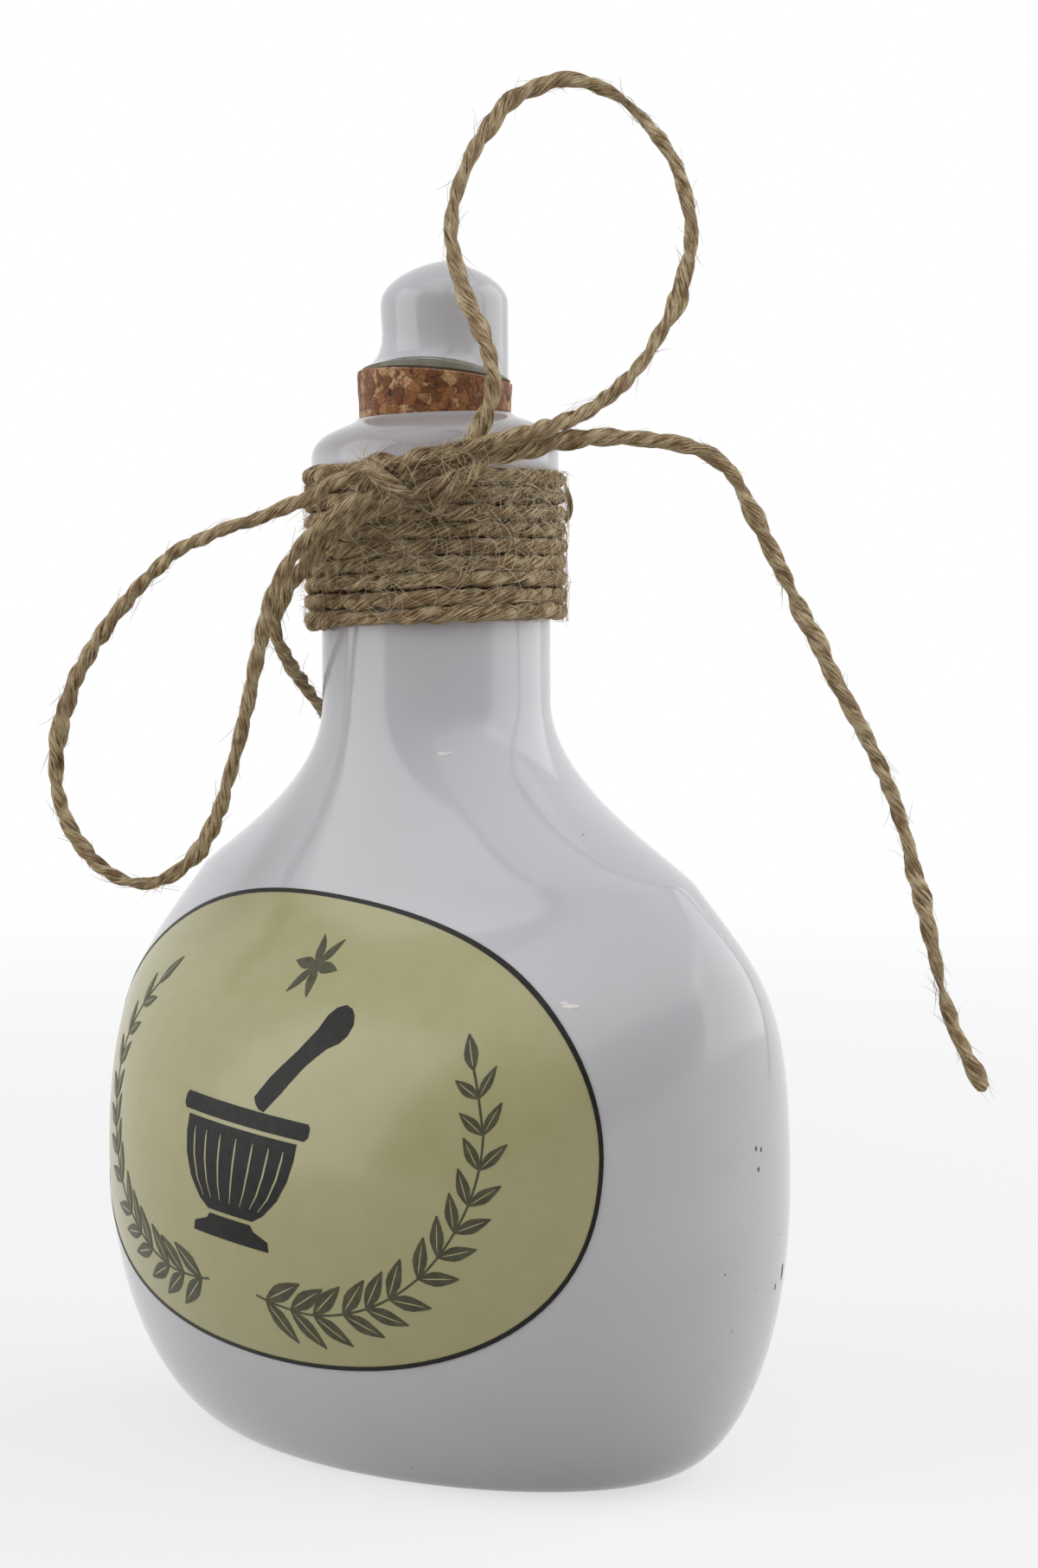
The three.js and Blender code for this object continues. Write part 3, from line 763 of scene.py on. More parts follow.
for vertex in cork.data.vertices:
    high = min(1.0, max(0.0, vertex.co.z / MM - CORK_ARCH_FROM) / 4)
    vertex.co.z += CORK_ARCH * arch(vertex.co) * high
print("cork %.1f mm long" % (cork.dimensions.z / MM))

# %% [markdown]
# The knob is a glazed dome on a flared foot, and dried glue fills the gap below it. The foot
# is arched from front to back and the knob sits off centre. Rings alone can't say that, so
# they make the plain turned shape and the points are moved afterwards.

# %% Glue and knob shapes
GLUE_PROFILE = [
    (5.0, 0.0), (10.5, 0.0), (10.9, 0.06), (10.9, 0.18), (10.6, 0.34), (9.6, 0.4), (4.0, 0.4)]
GLUE_SIDES, GLUE_WAVE, GLUE_ASIDE = 96, 3 * MM, 0.4 * MM
KNOB_BASE, KNOB_RIGHT, KNOB_OFF, KNOB_FOOT, KNOB_SIDES = 159.7, 10.95, 1.5, 10.8, 96
# Each run of the knob's outline is a curve of radii, a curve of levels and a count of steps.
KNOB_RUNS = [
    ((10.7, 10.1, 9.4, 9.36), (0.22, 0.75, 1.9, 5.2), 8),
    ((9.36, 9.36, 9.45, 9.45), (5.2, 7.0, 7.0, 9.8), 8),
    ((9.45, 9.45, 4.2, 0.0), (9.8, 13.0, 15.6, 16.2), 14),
]

glue = grown("glue_bead", [(r, r, CORK_TOP + z) for r, z in GLUE_PROFILE], GLUE_SIDES)
for vertex in glue.data.vertices:
    outward = Vector((vertex.co.x, vertex.co.y, 0))
    rise = min(1.0, (vertex.co.z / MM - CORK_TOP) / 0.28)
    vertex.co.z += (0.3 + 1.5 * rise) * MM * arch(vertex.co)
    if outward.length > 0.009:
        vertex.co += outward.normalized() * 0.3 * MM * noise.noise(vertex.co / GLUE_WAVE)
glue.data.transform(Matrix.Translation(RIGHT * GLUE_ASIDE))
lean_levels(glue, 150.0, CORK_TOP, TOP_SLOPE)

knob_rings = [(5.0, 0.0), (10.5, 0.0), (KNOB_FOOT, 0.08), (10.7, 0.22)]
for radii, levels, steps in KNOB_RUNS:
    curve = [(bezier(*radii, i / steps), bezier(*levels, i / steps)) for i in range(1, steps + 1)]
    knob_rings += curve
knob_rings.pop()
knob = grown("knob_glazed", [(r, r, KNOB_BASE + z) for r, z in knob_rings], KNOB_SIDES)
for vertex in knob.data.vertices:
    level = vertex.co.z / MM - KNOB_BASE
    reach = math.hypot(vertex.co.x, vertex.co.y) / MM
    aside = KNOB_RIGHT - reach if level < 9.8 and reach > 9 else KNOB_OFF
    vertex.co.z += TOP_SLOPE * max(0.0, 1 - level / 4.2) * vertex.co.dot(RIGHT)
    if reach > 9:
        vertex.co.z += (1.5 * arch(vertex.co) - 0.75) * max(0.0, 1 - level / 5.0) ** 2 * MM
    vertex.co += RIGHT * (aside if level > 0.01 else KNOB_RIGHT - KNOB_FOOT) * MM
for piece, node, slot in ((cork, "stopper_cork", "cork"), (glue, "stopper_glue", "glue"),
                          (knob, "stopper_knob", "knob_glaze")):
    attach(piece, "stopper")
    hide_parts(node)
wear(knob, knob_glaze)
print("stopper top %.1f mm" % max(v.co.z / MM for v in knob.data.vertices))

# %% [markdown]
# Pressed cork shows its granules: tan, orange-brown and dark bits with cracks and pits
# between them. Cells of about 2 mm give each granule its own tone, and the distance to
# the cell's edge darkens the cracks. The dried glue is a dull grey film, painted darker
# as painted shade under the knob's foot.

# %% Cork and glue materials
CORK_TONES = [(0.0, "#6E4526"), (0.33, "#905D37"), (0.62, "#A47248"), (0.87, "#CCA77C"),
              (1.0, "#A35D36")]
# The glue's greys are darker than the glue itself: painted shade under the knob's foot.
CORK_CRACK, GLUE_AND_SHADE_GREY, GLUE_AND_SHADE_DULL = "#382212", "#8D8B80", "#7E7B6C"
GRANULE_MM, STIR_MM, STIR_REACH, FINE_MM, PIT_MM, PIT_DEPTH = 1.7, 1.1, 1.5 * MM, 0.6, 1.5, 0.3 * MM

cork_material, tree, shader = new_material("pressed_cork")
place = add_node(tree, "ShaderNodeTexCoord").outputs["Object"]
stir = add_node(tree, "ShaderNodeTexNoise", {
    "Vector": place, "Scale": cycles(STIR_MM), "Detail": 3.0})
stirred = add_node(tree, "ShaderNodeVectorMath", {
    0: stir.outputs["Color"], 1: (STIR_REACH,) * 3, 2: place}, operation="MULTIPLY_ADD")
cells = {"Vector": stirred.outputs["Vector"], "Scale": cycles(GRANULE_MM)}
granule = add_node(tree, "ShaderNodeTexVoronoi", cells)
single = add_node(tree, "ShaderNodeSeparateColor", {"Color": granule.outputs["Color"]})
fine = add_node(tree, "ShaderNodeTexNoise", {
    "Vector": place, "Scale": cycles(FINE_MM), "Detail": 3.0})
tone_level = add_node(tree, "ShaderNodeMath", {
    0: fine.outputs["Fac"], 1: 0.8, 2: single.outputs["Red"]}, operation="MULTIPLY_ADD")
tone_shift = add_node(tree, "ShaderNodeMath", {
    0: tone_level.outputs["Value"], 1: 0.4}, operation="SUBTRACT")
tone = add_node(tree, "ShaderNodeValToRGB", {"Fac": tone_shift.outputs["Value"]})
set_ramp(tone, CORK_TONES)
edge = add_node(tree, "ShaderNodeTexVoronoi", cells, feature="DISTANCE_TO_EDGE")
crack = add_node(tree, "ShaderNodeMapRange", {
    "Value": edge.outputs["Distance"], "From Min": 0.0, "From Max": 0.1,
    "To Min": 0.45, "To Max": 0.0})
pits = add_node(tree, "ShaderNodeTexNoise", {
    "Vector": place, "Scale": cycles(PIT_MM), "Detail": 2.0})
pit = add_node(tree, "ShaderNodeMapRange", {
    "Value": pits.outputs["Fac"], "From Min": 0.61, "From Max": 0.72, "To Max": 0.9})
dark = add_node(tree, "ShaderNodeMath", {
    0: crack.outputs["Result"], 1: pit.outputs["Result"]}, operation="MAXIMUM")
colour = add_node(tree, "ShaderNodeMixRGB", {
    "Fac": dark.outputs["Value"], "Color1": tone.outputs["Color"], "Color2": linear(CORK_CRACK)})
tree.links.new(colour.outputs["Color"], shader.inputs["Base Color"])
bump = add_node(tree, "ShaderNodeBump", {
    "Height": dark.outputs["Value"], "Strength": 0.7, "Distance": PIT_DEPTH}, invert=True)
tree.links.new(bump.outputs["Normal"], shader.inputs["Normal"])
shader.inputs["Roughness"].default_value = 0.85
shader.inputs["Specular IOR Level"].default_value = 0.2
shader.inputs["Sheen Weight"].default_value = 0.35
wear(cork, cork_material)
glue_material = make_print("dried_glue_and_painted_shade", GLUE_AND_SHADE_DULL, GLUE_AND_SHADE_GREY, 2.0, 0.5, 0.3)
wear(glue, glue_material)
print("stopper materials:", cork_material.name, glue_material.name)

# %% [markdown]
# ## Twine
#
# Jute twine is two plies of hairy yarn twisted round each other, here about 2.3 mm thick
# with a full turn about every 10 mm, leaning like the middle of a letter S. A plain round
# curve would look like wire, so each ply is swept along its own winding path, thickens and
# thins a little as spun yarn does, and loose fibres are added as pieces of their own.

# %% Routes of the twine
TWINE, PLY_PITCH = 2.3 * MM, 10.0 * MM
CURVE_STEPS = 14


def even_steps(dense, step):
    """Places one step apart on a line through dense places."""
    lengths = [0.0]
    for a, b in zip(dense, dense[1:]):
        lengths.append(lengths[-1] + (b - a).length)
    count = max(2, round(lengths[-1] / step))
    spots, j = [], 0
    for i in range(count + 1):
        want = lengths[-1] * i / count
        while j < len(dense) - 2 and lengths[j + 1] < want:
            j += 1
        gap = lengths[j + 1] - lengths[j]
        spots.append(dense[j].lerp(dense[j + 1], (want - lengths[j]) / gap if gap else 0))
    return spots


def smooth_route(points, step):
    """Places one step apart on a smooth curve through the points."""
    points = [Vector(p) for p in points]
    padded = [2 * points[0] - points[1]] + points + [2 * points[-1] - points[-2]]
    dense = []
    for a, b, c, d in zip(padded, padded[1:], padded[2:], padded[3:]):
        ta = 0.0
        tb = ta + max((b - a).length, 1e-9) ** 0.5
        tc = tb + max((c - b).length, 1e-9) ** 0.5
        td = tc + max((d - c).length, 1e-9) ** 0.5
        for i in range(CURVE_STEPS):
            t = tb + (tc - tb) * i / CURVE_STEPS
            ab = a.lerp(b, (t - ta) / (tb - ta))
            bc = b.lerp(c, (t - tb) / (tc - tb))
            cd = c.lerp(d, (t - tc) / (td - tc))
            before = ab.lerp(bc, (t - ta) / (tc - ta))
            after = bc.lerp(cd, (t - tb) / (td - tb))
            dense.append(before.lerp(after, (t - tb) / (tc - tb)))
    dense.append(points[-1])
    return even_steps(dense, step)


def frames(spots):
    """Heading, side and third direction at each spot, turning as little as they can."""
    headings = []
    for i in range(len(spots)):
        headings.append((spots[min(i + 1, len(spots) - 1)] - spots[max(i - 1, 0)]).normalized())
    side = headings[0].orthogonal().normalized()
    result = []
    for heading in headings:
        side = (side - heading * side.dot(heading)).normalized()
        result.append((heading, side, heading.cross(side)))
    return result


def route_length(spots):
    return sum((b - a).length for a, b in zip(spots, spots[1:]))


print("twine %.1f mm, full turn %.1f mm" % (TWINE / MM, PLY_PITCH / MM))

# %% [markdown]
# A curve with a bevel gives a smooth round tube. Yarn is lumpy and twisted, so its tube is
# built point by point, with a radius for each place and angle. Every corner also gets its UV
# in millimetres, which the streaks of the finish need.

# %% Sweep a strand
YARN_ROUND = 2 * math.pi * 0.7


class Builder:
    """Collects points, faces and UVs, in millimetres along and round a strand, for one mesh."""

    def __init__(self):
        self.points, self.faces, self.uvs = [], [], []

    def sweep(self, spots, radius, sides, twist=0.0, shift=0.0):
        """A closed tube; radius(i, angle) gives its radius, twist turns it, in radians a mm."""
        base, total = len(self.points), len(spots)
        along = shift
        marks = []
        for i, (spot, (heading, side, third)) in enumerate(zip(spots, frames(spots))):
            if i:
                along += (spot - spots[i - 1]).length / MM
            marks.append(along)
            turn = twist * along
            for j in range(sides):
                angle = 2 * math.pi * j / sides
                outward = math.cos(angle + turn) * side + math.sin(angle + turn) * third
                self.points.append(spot + radius(i, angle) * outward)
        round_mm = YARN_ROUND / sides
        for i in range(total - 1):
            for j in range(sides):
                k = (j + 1) % sides
                row, above = base + i * sides, base + (i + 1) * sides
                self.faces.append((row + j, row + k, above + k, above + j))
                u0, u1 = j * round_mm, (j + 1) * round_mm
                self.uvs += [(u0, marks[i]), (u1, marks[i]), (u1, marks[i + 1]), (u0, marks[i + 1])]
        for end, row in ((0, base), (total - 1, base + (total - 1) * sides)):
            tip = len(self.points)
            self.points.append(spots[end])
            for j in range(sides):
                k = (j + 1) % sides
                self.faces.append((row + k, row + j, tip) if end == 0 else (row + j, row + k, tip))
                self.uvs += [(j * round_mm, marks[end])] * 3

    def mesh_piece(self, name):
        mesh = bpy.data.meshes.new(name)
        mesh.from_pydata(self.points, [], self.faces)
        layer = mesh.uv_layers.new(name="strand_mm")
        for corner, uv in zip(layer.data, self.uvs):
            corner.uv = uv
        mesh.polygons.foreach_set("use_smooth", [True] * len(mesh.polygons))
        mesh.update()
        piece = bpy.data.objects.new(name, mesh)
        bpy.context.scene.collection.objects.link(piece)
        return piece


print("a ply is mapped as %.1f mm round" % YARN_ROUND)

# %% Two plies of uneven yarn
# Each unevenness has its size, as a share, and the length over which it changes.
PITCH_UNEVEN, PITCH_RUN = 0.45, 16 * MM
SWELL, SWELL_RUN = 0.30, 11 * MM
LUMP, LUMP_RUN = 0.16, 3 * MM
GAP_UNEVEN, GAP_RUN = 0.5, 8 * MM
DENT, DENT_RUN = 0.24, 4 * MM
BODY_RUN, END_RUN = 18 * MM, 0.9 * MM
PLY_SHARE, PLY_SIDES, PLY_TWIST = 0.355, 18, -0.36


def wobble(along, seed, size):
    return noise.noise(Vector((along / size, seed * 7.31, 0.37)))


def lay_twine(builder, spots, seed, fat=0.97, groove=0.15, places=(), uneven=0.16):
    """Two plies wound round a route, uneven as spun jute is.

    places are thick or thin spots of the yarn: how far along they are, how many times as
    thick, and over which length, in metres."""
    phase, along, phases, marks = seed * 1.7, 0.0, [], []
    for i, spot in enumerate(spots):
        if i:
            step = (spot - spots[i - 1]).length
            along += step
            pitch = PLY_PITCH * (1 + PITCH_UNEVEN * wobble(along, seed, PITCH_RUN))
            phase -= 2 * math.pi * step / pitch
        phases.append(phase)
        marks.append(along)
    lay = frames(spots)
    for ply in (0, 1):
        centres, sizes = [], []
        for s, phase, spot, (_, side, third) in zip(marks, phases, spots, lay):
            swell = 1 + SWELL * wobble(s, seed + 3 * ply, SWELL_RUN)
            swell += LUMP * wobble(s, seed + 5 + ply, LUMP_RUN)
            body = 1 + uneven * wobble(s, seed + 20, BODY_RUN)
            for place, factor, spread in places:
                body *= 1 + (factor - 1) * math.exp(-((s - place) / spread) ** 2)
            close = min(1.0, 0.35 + min(s, marks[-1] - s) / END_RUN)
            apart = groove * TWINE * fat * body * (1 + GAP_UNEVEN * wobble(s, seed + 9, GAP_RUN))
            angle = phase + ply * math.pi
            centres.append(spot + apart * (math.cos(angle) * side + math.sin(angle) * third))
            sizes.append(PLY_SHARE * TWINE * fat * body * swell * close)

        def radius(i, angle, sizes=sizes, ply=ply):
            depth = marks[i] / DENT_RUN + seed * 3.1 + ply * 9
            where = Vector((2.4 * math.cos(angle), 2.4 * math.sin(angle), depth))
            return sizes[i] * (1 + DENT * noise.noise(where))

        builder.sweep(centres, radius, PLY_SIDES, twist=PLY_TWIST, shift=seed * 13.0 + ply * 40)


print("a ply is about %.1f mm thick" % (2 * PLY_SHARE * TWINE / MM))

# %% [markdown]
# Loose fibres are what makes jute look like jute. A hair system could grow them, but they are
# wanted as plain meshes, so each fibre is a thin tube with three sides. Three are enough,
# since a fibre is seldom more than a pixel wide.

# %% Loose fibres
# Real fibres are about half as thick. They are drawn thicker, so that they show.
HAIR_THICK, HAIR_SIDES, CURL_STEP = (0.03, 0.055), 3, 0.7
FIBRE_MARKS, FIBRE_TAPER = (0.0, 0.3, 0.65, 1.0), (1.0, 0.85, 0.65, 0.3)


def add_fibre(builder, start, heading, length, bend, thick):
    """One loose fibre: a thin curved hair, widest where it leaves the yarn."""
    spots = [start + heading * length * t + bend * (length * t * t) for t in FIBRE_MARKS]
    builder.sweep(spots, lambda i, angle: thick * FIBRE_TAPER[i], HAIR_SIDES)


def add_hair(builder, spots, thick):
    """One long hair, which thins evenly towards its tip."""
    builder.sweep(spots, lambda i, angle: thick * (1 - 0.6 * i / len(spots)), HAIR_SIDES)


def fray(builder, spots, count, seed, reach=(1.2, 4.0), out=0.55, away=None, root=(0.26, 0.4)):
    """Loose fibres that leave a strand here and there, most of them lying along it."""
    draw = random.Random(seed)
    lay = frames(spots)
    for _ in range(count):
        i = draw.randrange(1, len(spots) - 1)
        heading, side, third = lay[i]
        angle = draw.uniform(0, 2 * math.pi)
        outward = math.cos(angle) * side + math.sin(angle) * third
        if away is not None and outward.dot(away(spots[i])) < -0.2:
            outward = -outward
        start = spots[i] + outward * TWINE * draw.uniform(*root)
        lean = heading * draw.choice((-1, 1)) * draw.uniform(0.7, 1.3)
        direction = (lean + outward * draw.uniform(0.1, out)).normalized()
        curl = Vector((draw.uniform(-1, 1), draw.uniform(-1, 1), draw.uniform(-1, 0.6)))
        bend = curl * 0.4 - outward * 0.15
        length, thick = draw.uniform(*reach) * MM, draw.uniform(*HAIR_THICK) * MM
        add_fibre(builder, start, direction, length, bend, thick)


def add_curl(builder, start, heading, outward, length, draw):
    """One long fibre that was pulled out and wanders off in a loose curl."""
    spots, turn = [start], draw.uniform(-0.35, 0.35)
    for _ in range(max(4, round(length / (CURL_STEP * MM)))):
        heading = (Matrix.Rotation(turn, 3, outward) @ heading).normalized()
        turn += draw.uniform(-0.12, 0.12)
        step = heading * CURL_STEP + outward * draw.uniform(-0.05, 0.12)
        spots.append(spots[-1] + step * MM)
    add_hair(builder, spots, draw.uniform(*HAIR_THICK) * MM)


print("loose fibres %.2f to %.2f mm thick" % tuple(2 * r for r in HAIR_THICK))

# %% [markdown]
# The yarn's finish reads the UV map that the sweep wrote: millimetres round and along the
# ply. Streaks of straw, brown and grey-green run along the yarn like real bast fibres, rusty
# patches break them up, and a sheen of fine down softens the edges. The bow's free
# stretches get a lighter copy of the finish than the winding and the knot: painted light
# and shade. The fuzz under the turns is painted in shade, loose fibres are browner, and
# the longest ones are painted paler than jute, as painted light.

# %% Jute material
JUTE_DARK, JUTE_BROWN, JUTE_STRAW, JUTE_PALE = "#352819", "#84694A", "#B0976F", "#DECDA8"
# The palest tone is paler than jute: painted light on the long fibres. It also tints the sheen.
JUTE_RED, JUTE_LIT_PALE = "#7A543C", "#EEE2C2"
# Bast fibres are about 0.05 mm wide. The streaks are drawn wider, so that they show.
FIBRE_WIDTH, FIBRE_RUN, FIBRE_DEPTH = 0.18, 3.2, 0.3 * MM
PATCHES_PER_MM, RUST_PER_MM = 0.4, 0.22


def make_jute(name, stops, bump_strength):
    material, tree, shader = new_material(name)
    strand = add_node(tree, "ShaderNodeUVMap", uv_map="strand_mm").outputs["UV"]
    fibres = add_node(tree, "ShaderNodeMapping", {
        "Vector": strand, "Scale": (1 / FIBRE_WIDTH, 1 / FIBRE_RUN, 1)})
    streaks = add_node(tree, "ShaderNodeTexNoise", {
        "Vector": fibres.outputs["Vector"], "Scale": 1.0, "Detail": 4.0, "Roughness": 0.7})
    patches = add_node(tree, "ShaderNodeTexNoise", {
        "Vector": strand, "Scale": PATCHES_PER_MM, "Detail": 2.0})
    level = add_node(tree, "ShaderNodeMath", {
        0: patches.outputs["Fac"], 1: 0.35, 2: streaks.outputs["Fac"]}, operation="MULTIPLY_ADD")
    tone = add_node(tree, "ShaderNodeValToRGB", {"Fac": level.outputs["Value"]})
    set_ramp(tone, stops)
    rust = add_node(tree, "ShaderNodeTexNoise", {
        "Vector": strand, "Scale": RUST_PER_MM, "Detail": 1.0})
    rusty = add_node(tree, "ShaderNodeMapRange", {
        "Value": rust.outputs["Fac"], "From Min": 0.5, "From Max": 0.72, "To Max": 0.5})
    colour = add_node(tree, "ShaderNodeMixRGB", {
        "Fac": rusty.outputs["Result"], "Color1": tone.outputs["Color"],
        "Color2": linear(JUTE_RED)})
    tree.links.new(colour.outputs["Color"], shader.inputs["Base Color"])
    bump = add_node(tree, "ShaderNodeBump", {
        "Height": streaks.outputs["Fac"], "Strength": bump_strength, "Distance": FIBRE_DEPTH})
    tree.links.new(bump.outputs["Normal"], shader.inputs["Normal"])
    shader.inputs["Roughness"].default_value = 0.85
    shader.inputs["Sheen Weight"].default_value = 0.4
    shader.inputs["Sheen Roughness"].default_value = 0.45
    shader.inputs["Sheen Tint"].default_value = linear(JUTE_LIT_PALE)
    shader.inputs["Specular IOR Level"].default_value = 0.25
    return material


# The winding's and the knot's copy is the darker one: painted shade.
jute = make_jute("jute_two_ply", [
    (0.56, JUTE_DARK), (0.63, JUTE_BROWN), (0.70, JUTE_STRAW), (0.78, JUTE_PALE)], 1.0)
# The bow's copy is the lighter one: painted light on the free stretches.
jute_bow = make_jute("jute_two_ply_painted_lighter", [
    (0.52, JUTE_DARK), (0.59, JUTE_BROWN), (0.67, JUTE_STRAW), (0.75, JUTE_PALE)], 1.0)
# The fuzz under the turns is painted in shade: a darker copy of the finish.
jute_inner = make_jute("jute_shaded_fuzz", [(0.5, JUTE_DARK), (0.85, JUTE_BROWN)], 0.5)
jute_fibre = make_jute("jute_loose_fibre", [
    (0.52, JUTE_DARK), (0.62, JUTE_BROWN), (0.8, JUTE_PALE)], 0.0)
# The long fibres are painted pale: painted light where they catch the lamps.
jute_hair = make_jute("jute_long_pale_fibre", [(0.4, JUTE_STRAW), (0.65, JUTE_LIT_PALE)], 0.0)
print("jute:", jute.name, jute_bow.name, jute_inner.name, jute_fibre.name, jute_hair.name)

# %% [markdown]
# ## Winding round the neck
#
# The twine goes round the neck as one close helix, from low on the left up to the lip.
# Each turn lies against the one below it, so its rise in one turn is one twine.

# %% Winding
BOW_BEARING = math.radians(43.9)
WRAP_TURNS, WRAP_PITCH, WRAP_STEPS = 9.25, 2.41 * MM, 72
WRAP_LOW, WRAP_LEVEL_TURN = 122.9 * MM, 8.55
WRAP_RADIUS, WRAP_GRID = NECK_RADIUS * MM + 0.53 * TWINE, 0.65 * MM
START_DIP, START_STEPS, START_FAT = 0.3 * MM, 18, (0.0, 1.25, 12 * MM)
CLIMB_TURNS, CLIMB_UP, CLIMB_OUT = 0.42, 1.3 * MM, 2.0 * MM
turn_to_bow = Matrix.Rotation(BOW_BEARING, 4, "Z")

wrap_dense = []
for i in range(int(WRAP_TURNS * WRAP_STEPS) + 1):
    turns, angle = i / WRAP_STEPS, 2 * math.pi * i / WRAP_STEPS
    climb = max(0.0, turns - WRAP_TURNS + CLIMB_TURNS) / CLIMB_TURNS
    level = WRAP_LOW + min(turns, WRAP_LEVEL_TURN) * WRAP_PITCH
    level += 0.35 * MM * wobble(angle * 5 * MM, 2, 6 * MM)
    level -= START_DIP * max(0.0, 1 - i / START_STEPS)
    level += CLIMB_UP * climb * climb
    reach = WRAP_RADIUS + 0.3 * MM * wobble(angle * 5 * MM, 4, 5 * MM)
    reach += CLIMB_OUT * climb * climb
    spot = Vector((reach * math.cos(math.pi + angle), reach * math.sin(math.pi + angle), level))
    wrap_dense.append(turn_to_bow @ spot)
wrap_spots = even_steps(wrap_dense, WRAP_GRID)
winding_mesh = Builder()
lay_twine(winding_mesh, wrap_spots, 1, fat=1.12, groove=0.13, places=[START_FAT], uneven=0.08)
winding = winding_mesh.mesh_piece("twine_winding")
wear(winding, jute)
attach(winding, "jar")
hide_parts("twine_wrap")
print("winding %.0f mm of twine" % (route_length(wrap_spots) / MM))

# %% [markdown]
# Fuzz fills the grooves between the turns, so the white neck never shows there. A thin dark
# sleeve under the turns stands for it, painted dark as the shade between the turns. Its UV
# map is scaled to millimetres, with the fibres running round the neck.

# %% Fuzz under the turns
SLEEVE_RADIUS, SLEEVE_WALL = WRAP_RADIUS - 0.3 * TWINE, 0.3 * MM
SLEEVE_LOW, SLEEVE_HIGH = 124.7 * MM, 142.3 * MM
SLEEVE_MAP = (110, 35)
nothing_selected()
bpy.ops.mesh.primitive_cylinder_add(
    vertices=96, radius=SLEEVE_RADIUS, depth=SLEEVE_HIGH - SLEEVE_LOW, end_fill_type="NOTHING",
    location=(0, 0, (SLEEVE_LOW + SLEEVE_HIGH) / 2))
sleeve = bpy.context.object
sleeve.name = sleeve.data.name = "twine_inner_fuzz_painted_shade"
bpy.ops.object.transform_apply(location=True, rotation=True, scale=True)
bpy.ops.object.modifier_add(type="SOLIDIFY")
sleeve.modifiers[0].thickness = SLEEVE_WALL
bpy.ops.object.modifier_apply(modifier=sleeve.modifiers[0].name)
bpy.ops.object.shade_smooth_by_angle(angle=SMOOTH_ANGLE)
sleeve_map = sleeve.data.uv_layers[0]
sleeve_map.name = "strand_mm"
for corner in sleeve_map.data:
    corner.uv = (corner.uv.y * SLEEVE_MAP[1], corner.uv.x * SLEEVE_MAP[0])
# Painted shade: the sleeve wears the dark fuzz finish.
wear(sleeve, jute_inner)
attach(sleeve, "jar")
print("sleeve radius %.1f mm" % (SLEEVE_RADIUS / MM))

# %% [markdown]
# ## The bow
#
# Two loops and two tails leave the knot. Their routes are lists of points chosen from the
# picture, counted from the middle of the knot, as right, back and up for someone who faces
# it. Jute is stiff enough to hold such loops, so they keep the shape that they were given.

# %% Routes of the bow, in metres from the middle of the knot
KNOT_ASIDE, KNOT_REACH, KNOT_LEVEL = -0.0007, 0.022082, 0.1449
UPPER_LOOP = [
    (0.0067, 0.0014, 0.0044), (0.0079, 0.0010, 0.0066), (0.0087, 0.0008, 0.0092),
    (0.0090, 0.0009, 0.0120), (0.0084, 0.0016, 0.0155), (0.0070, 0.0030, 0.0195),
    (0.0046, 0.0042, 0.0255), (0.0032, 0.0050, 0.0320),
    (0.0038, 0.0057, 0.0380), (0.0066, 0.0066, 0.0450), (0.0110, 0.0074, 0.0512),
    (0.0160, 0.0080, 0.0544), (0.0210, 0.0086, 0.0552), (0.0270, 0.0086, 0.0530),
    (0.0320, 0.0086, 0.0482), (0.0360, 0.0086, 0.0420), (0.0377, 0.0080, 0.0343),
    (0.0366, 0.0072, 0.0265), (0.0330, 0.0058, 0.0185), (0.0278, 0.0036, 0.0116),
    (0.0220, 0.0010, 0.0072), (0.0158, -0.0014, 0.0046), (0.0115, -0.0019, 0.0036),
    (0.0072, -0.0012, 0.0026)]
RIGHT_TAIL = [
    (0.0077, 0.0011, 0.0008), (0.0130, 0.0010, 0.0017), (0.0180, 0.0012, 0.0030),
    (0.0240, 0.0017, 0.0037), (0.0300, 0.0028, 0.0035), (0.0360, 0.0038, 0.0027),
    (0.0405, 0.0045, 0.0011), (0.0433, 0.0051, -0.0015), (0.0456, 0.0060, -0.0055),
    (0.0496, 0.0076, -0.0132), (0.0541, 0.0096, -0.0218), (0.0599, 0.0116, -0.0329),
    (0.0642, 0.0130, -0.0406), (0.0680, 0.0142, -0.0490), (0.0712, 0.0152, -0.0595),
    (0.0738, 0.0156, -0.0700), (0.0752, 0.0156, -0.0768), (0.0774, 0.0156, -0.0835),
    (0.0817, 0.0156, -0.0923)]
LEFT_LOOP = [
    (-0.0082, 0.0000, -0.0008), (-0.0130, 0.0007, -0.0024), (-0.0180, 0.0026, -0.0050),
    (-0.0245, 0.0056, -0.0074), (-0.0315, 0.0092, -0.0096), (-0.0375, 0.0124, -0.0124),
    (-0.0435, 0.0157, -0.0180), (-0.0490, 0.0189, -0.0245), (-0.0532, 0.0218, -0.0315),
    (-0.0559, 0.0248, -0.0395), (-0.0562, 0.0256, -0.0475), (-0.0534, 0.0256, -0.0548),
    (-0.0480, 0.0240, -0.0600), (-0.0425, 0.0225, -0.0612), (-0.0374, 0.0210, -0.0589),
    (-0.0330, 0.0192, -0.0534), (-0.0299, 0.0162, -0.0452), (-0.0273, 0.0133, -0.0360),
    (-0.0250, 0.0101, -0.0264), (-0.0226, 0.0068, -0.0180), (-0.0182, 0.0034, -0.0112),
    (-0.0130, 0.0004, -0.0068), (-0.0070, -0.0007, -0.0036)]
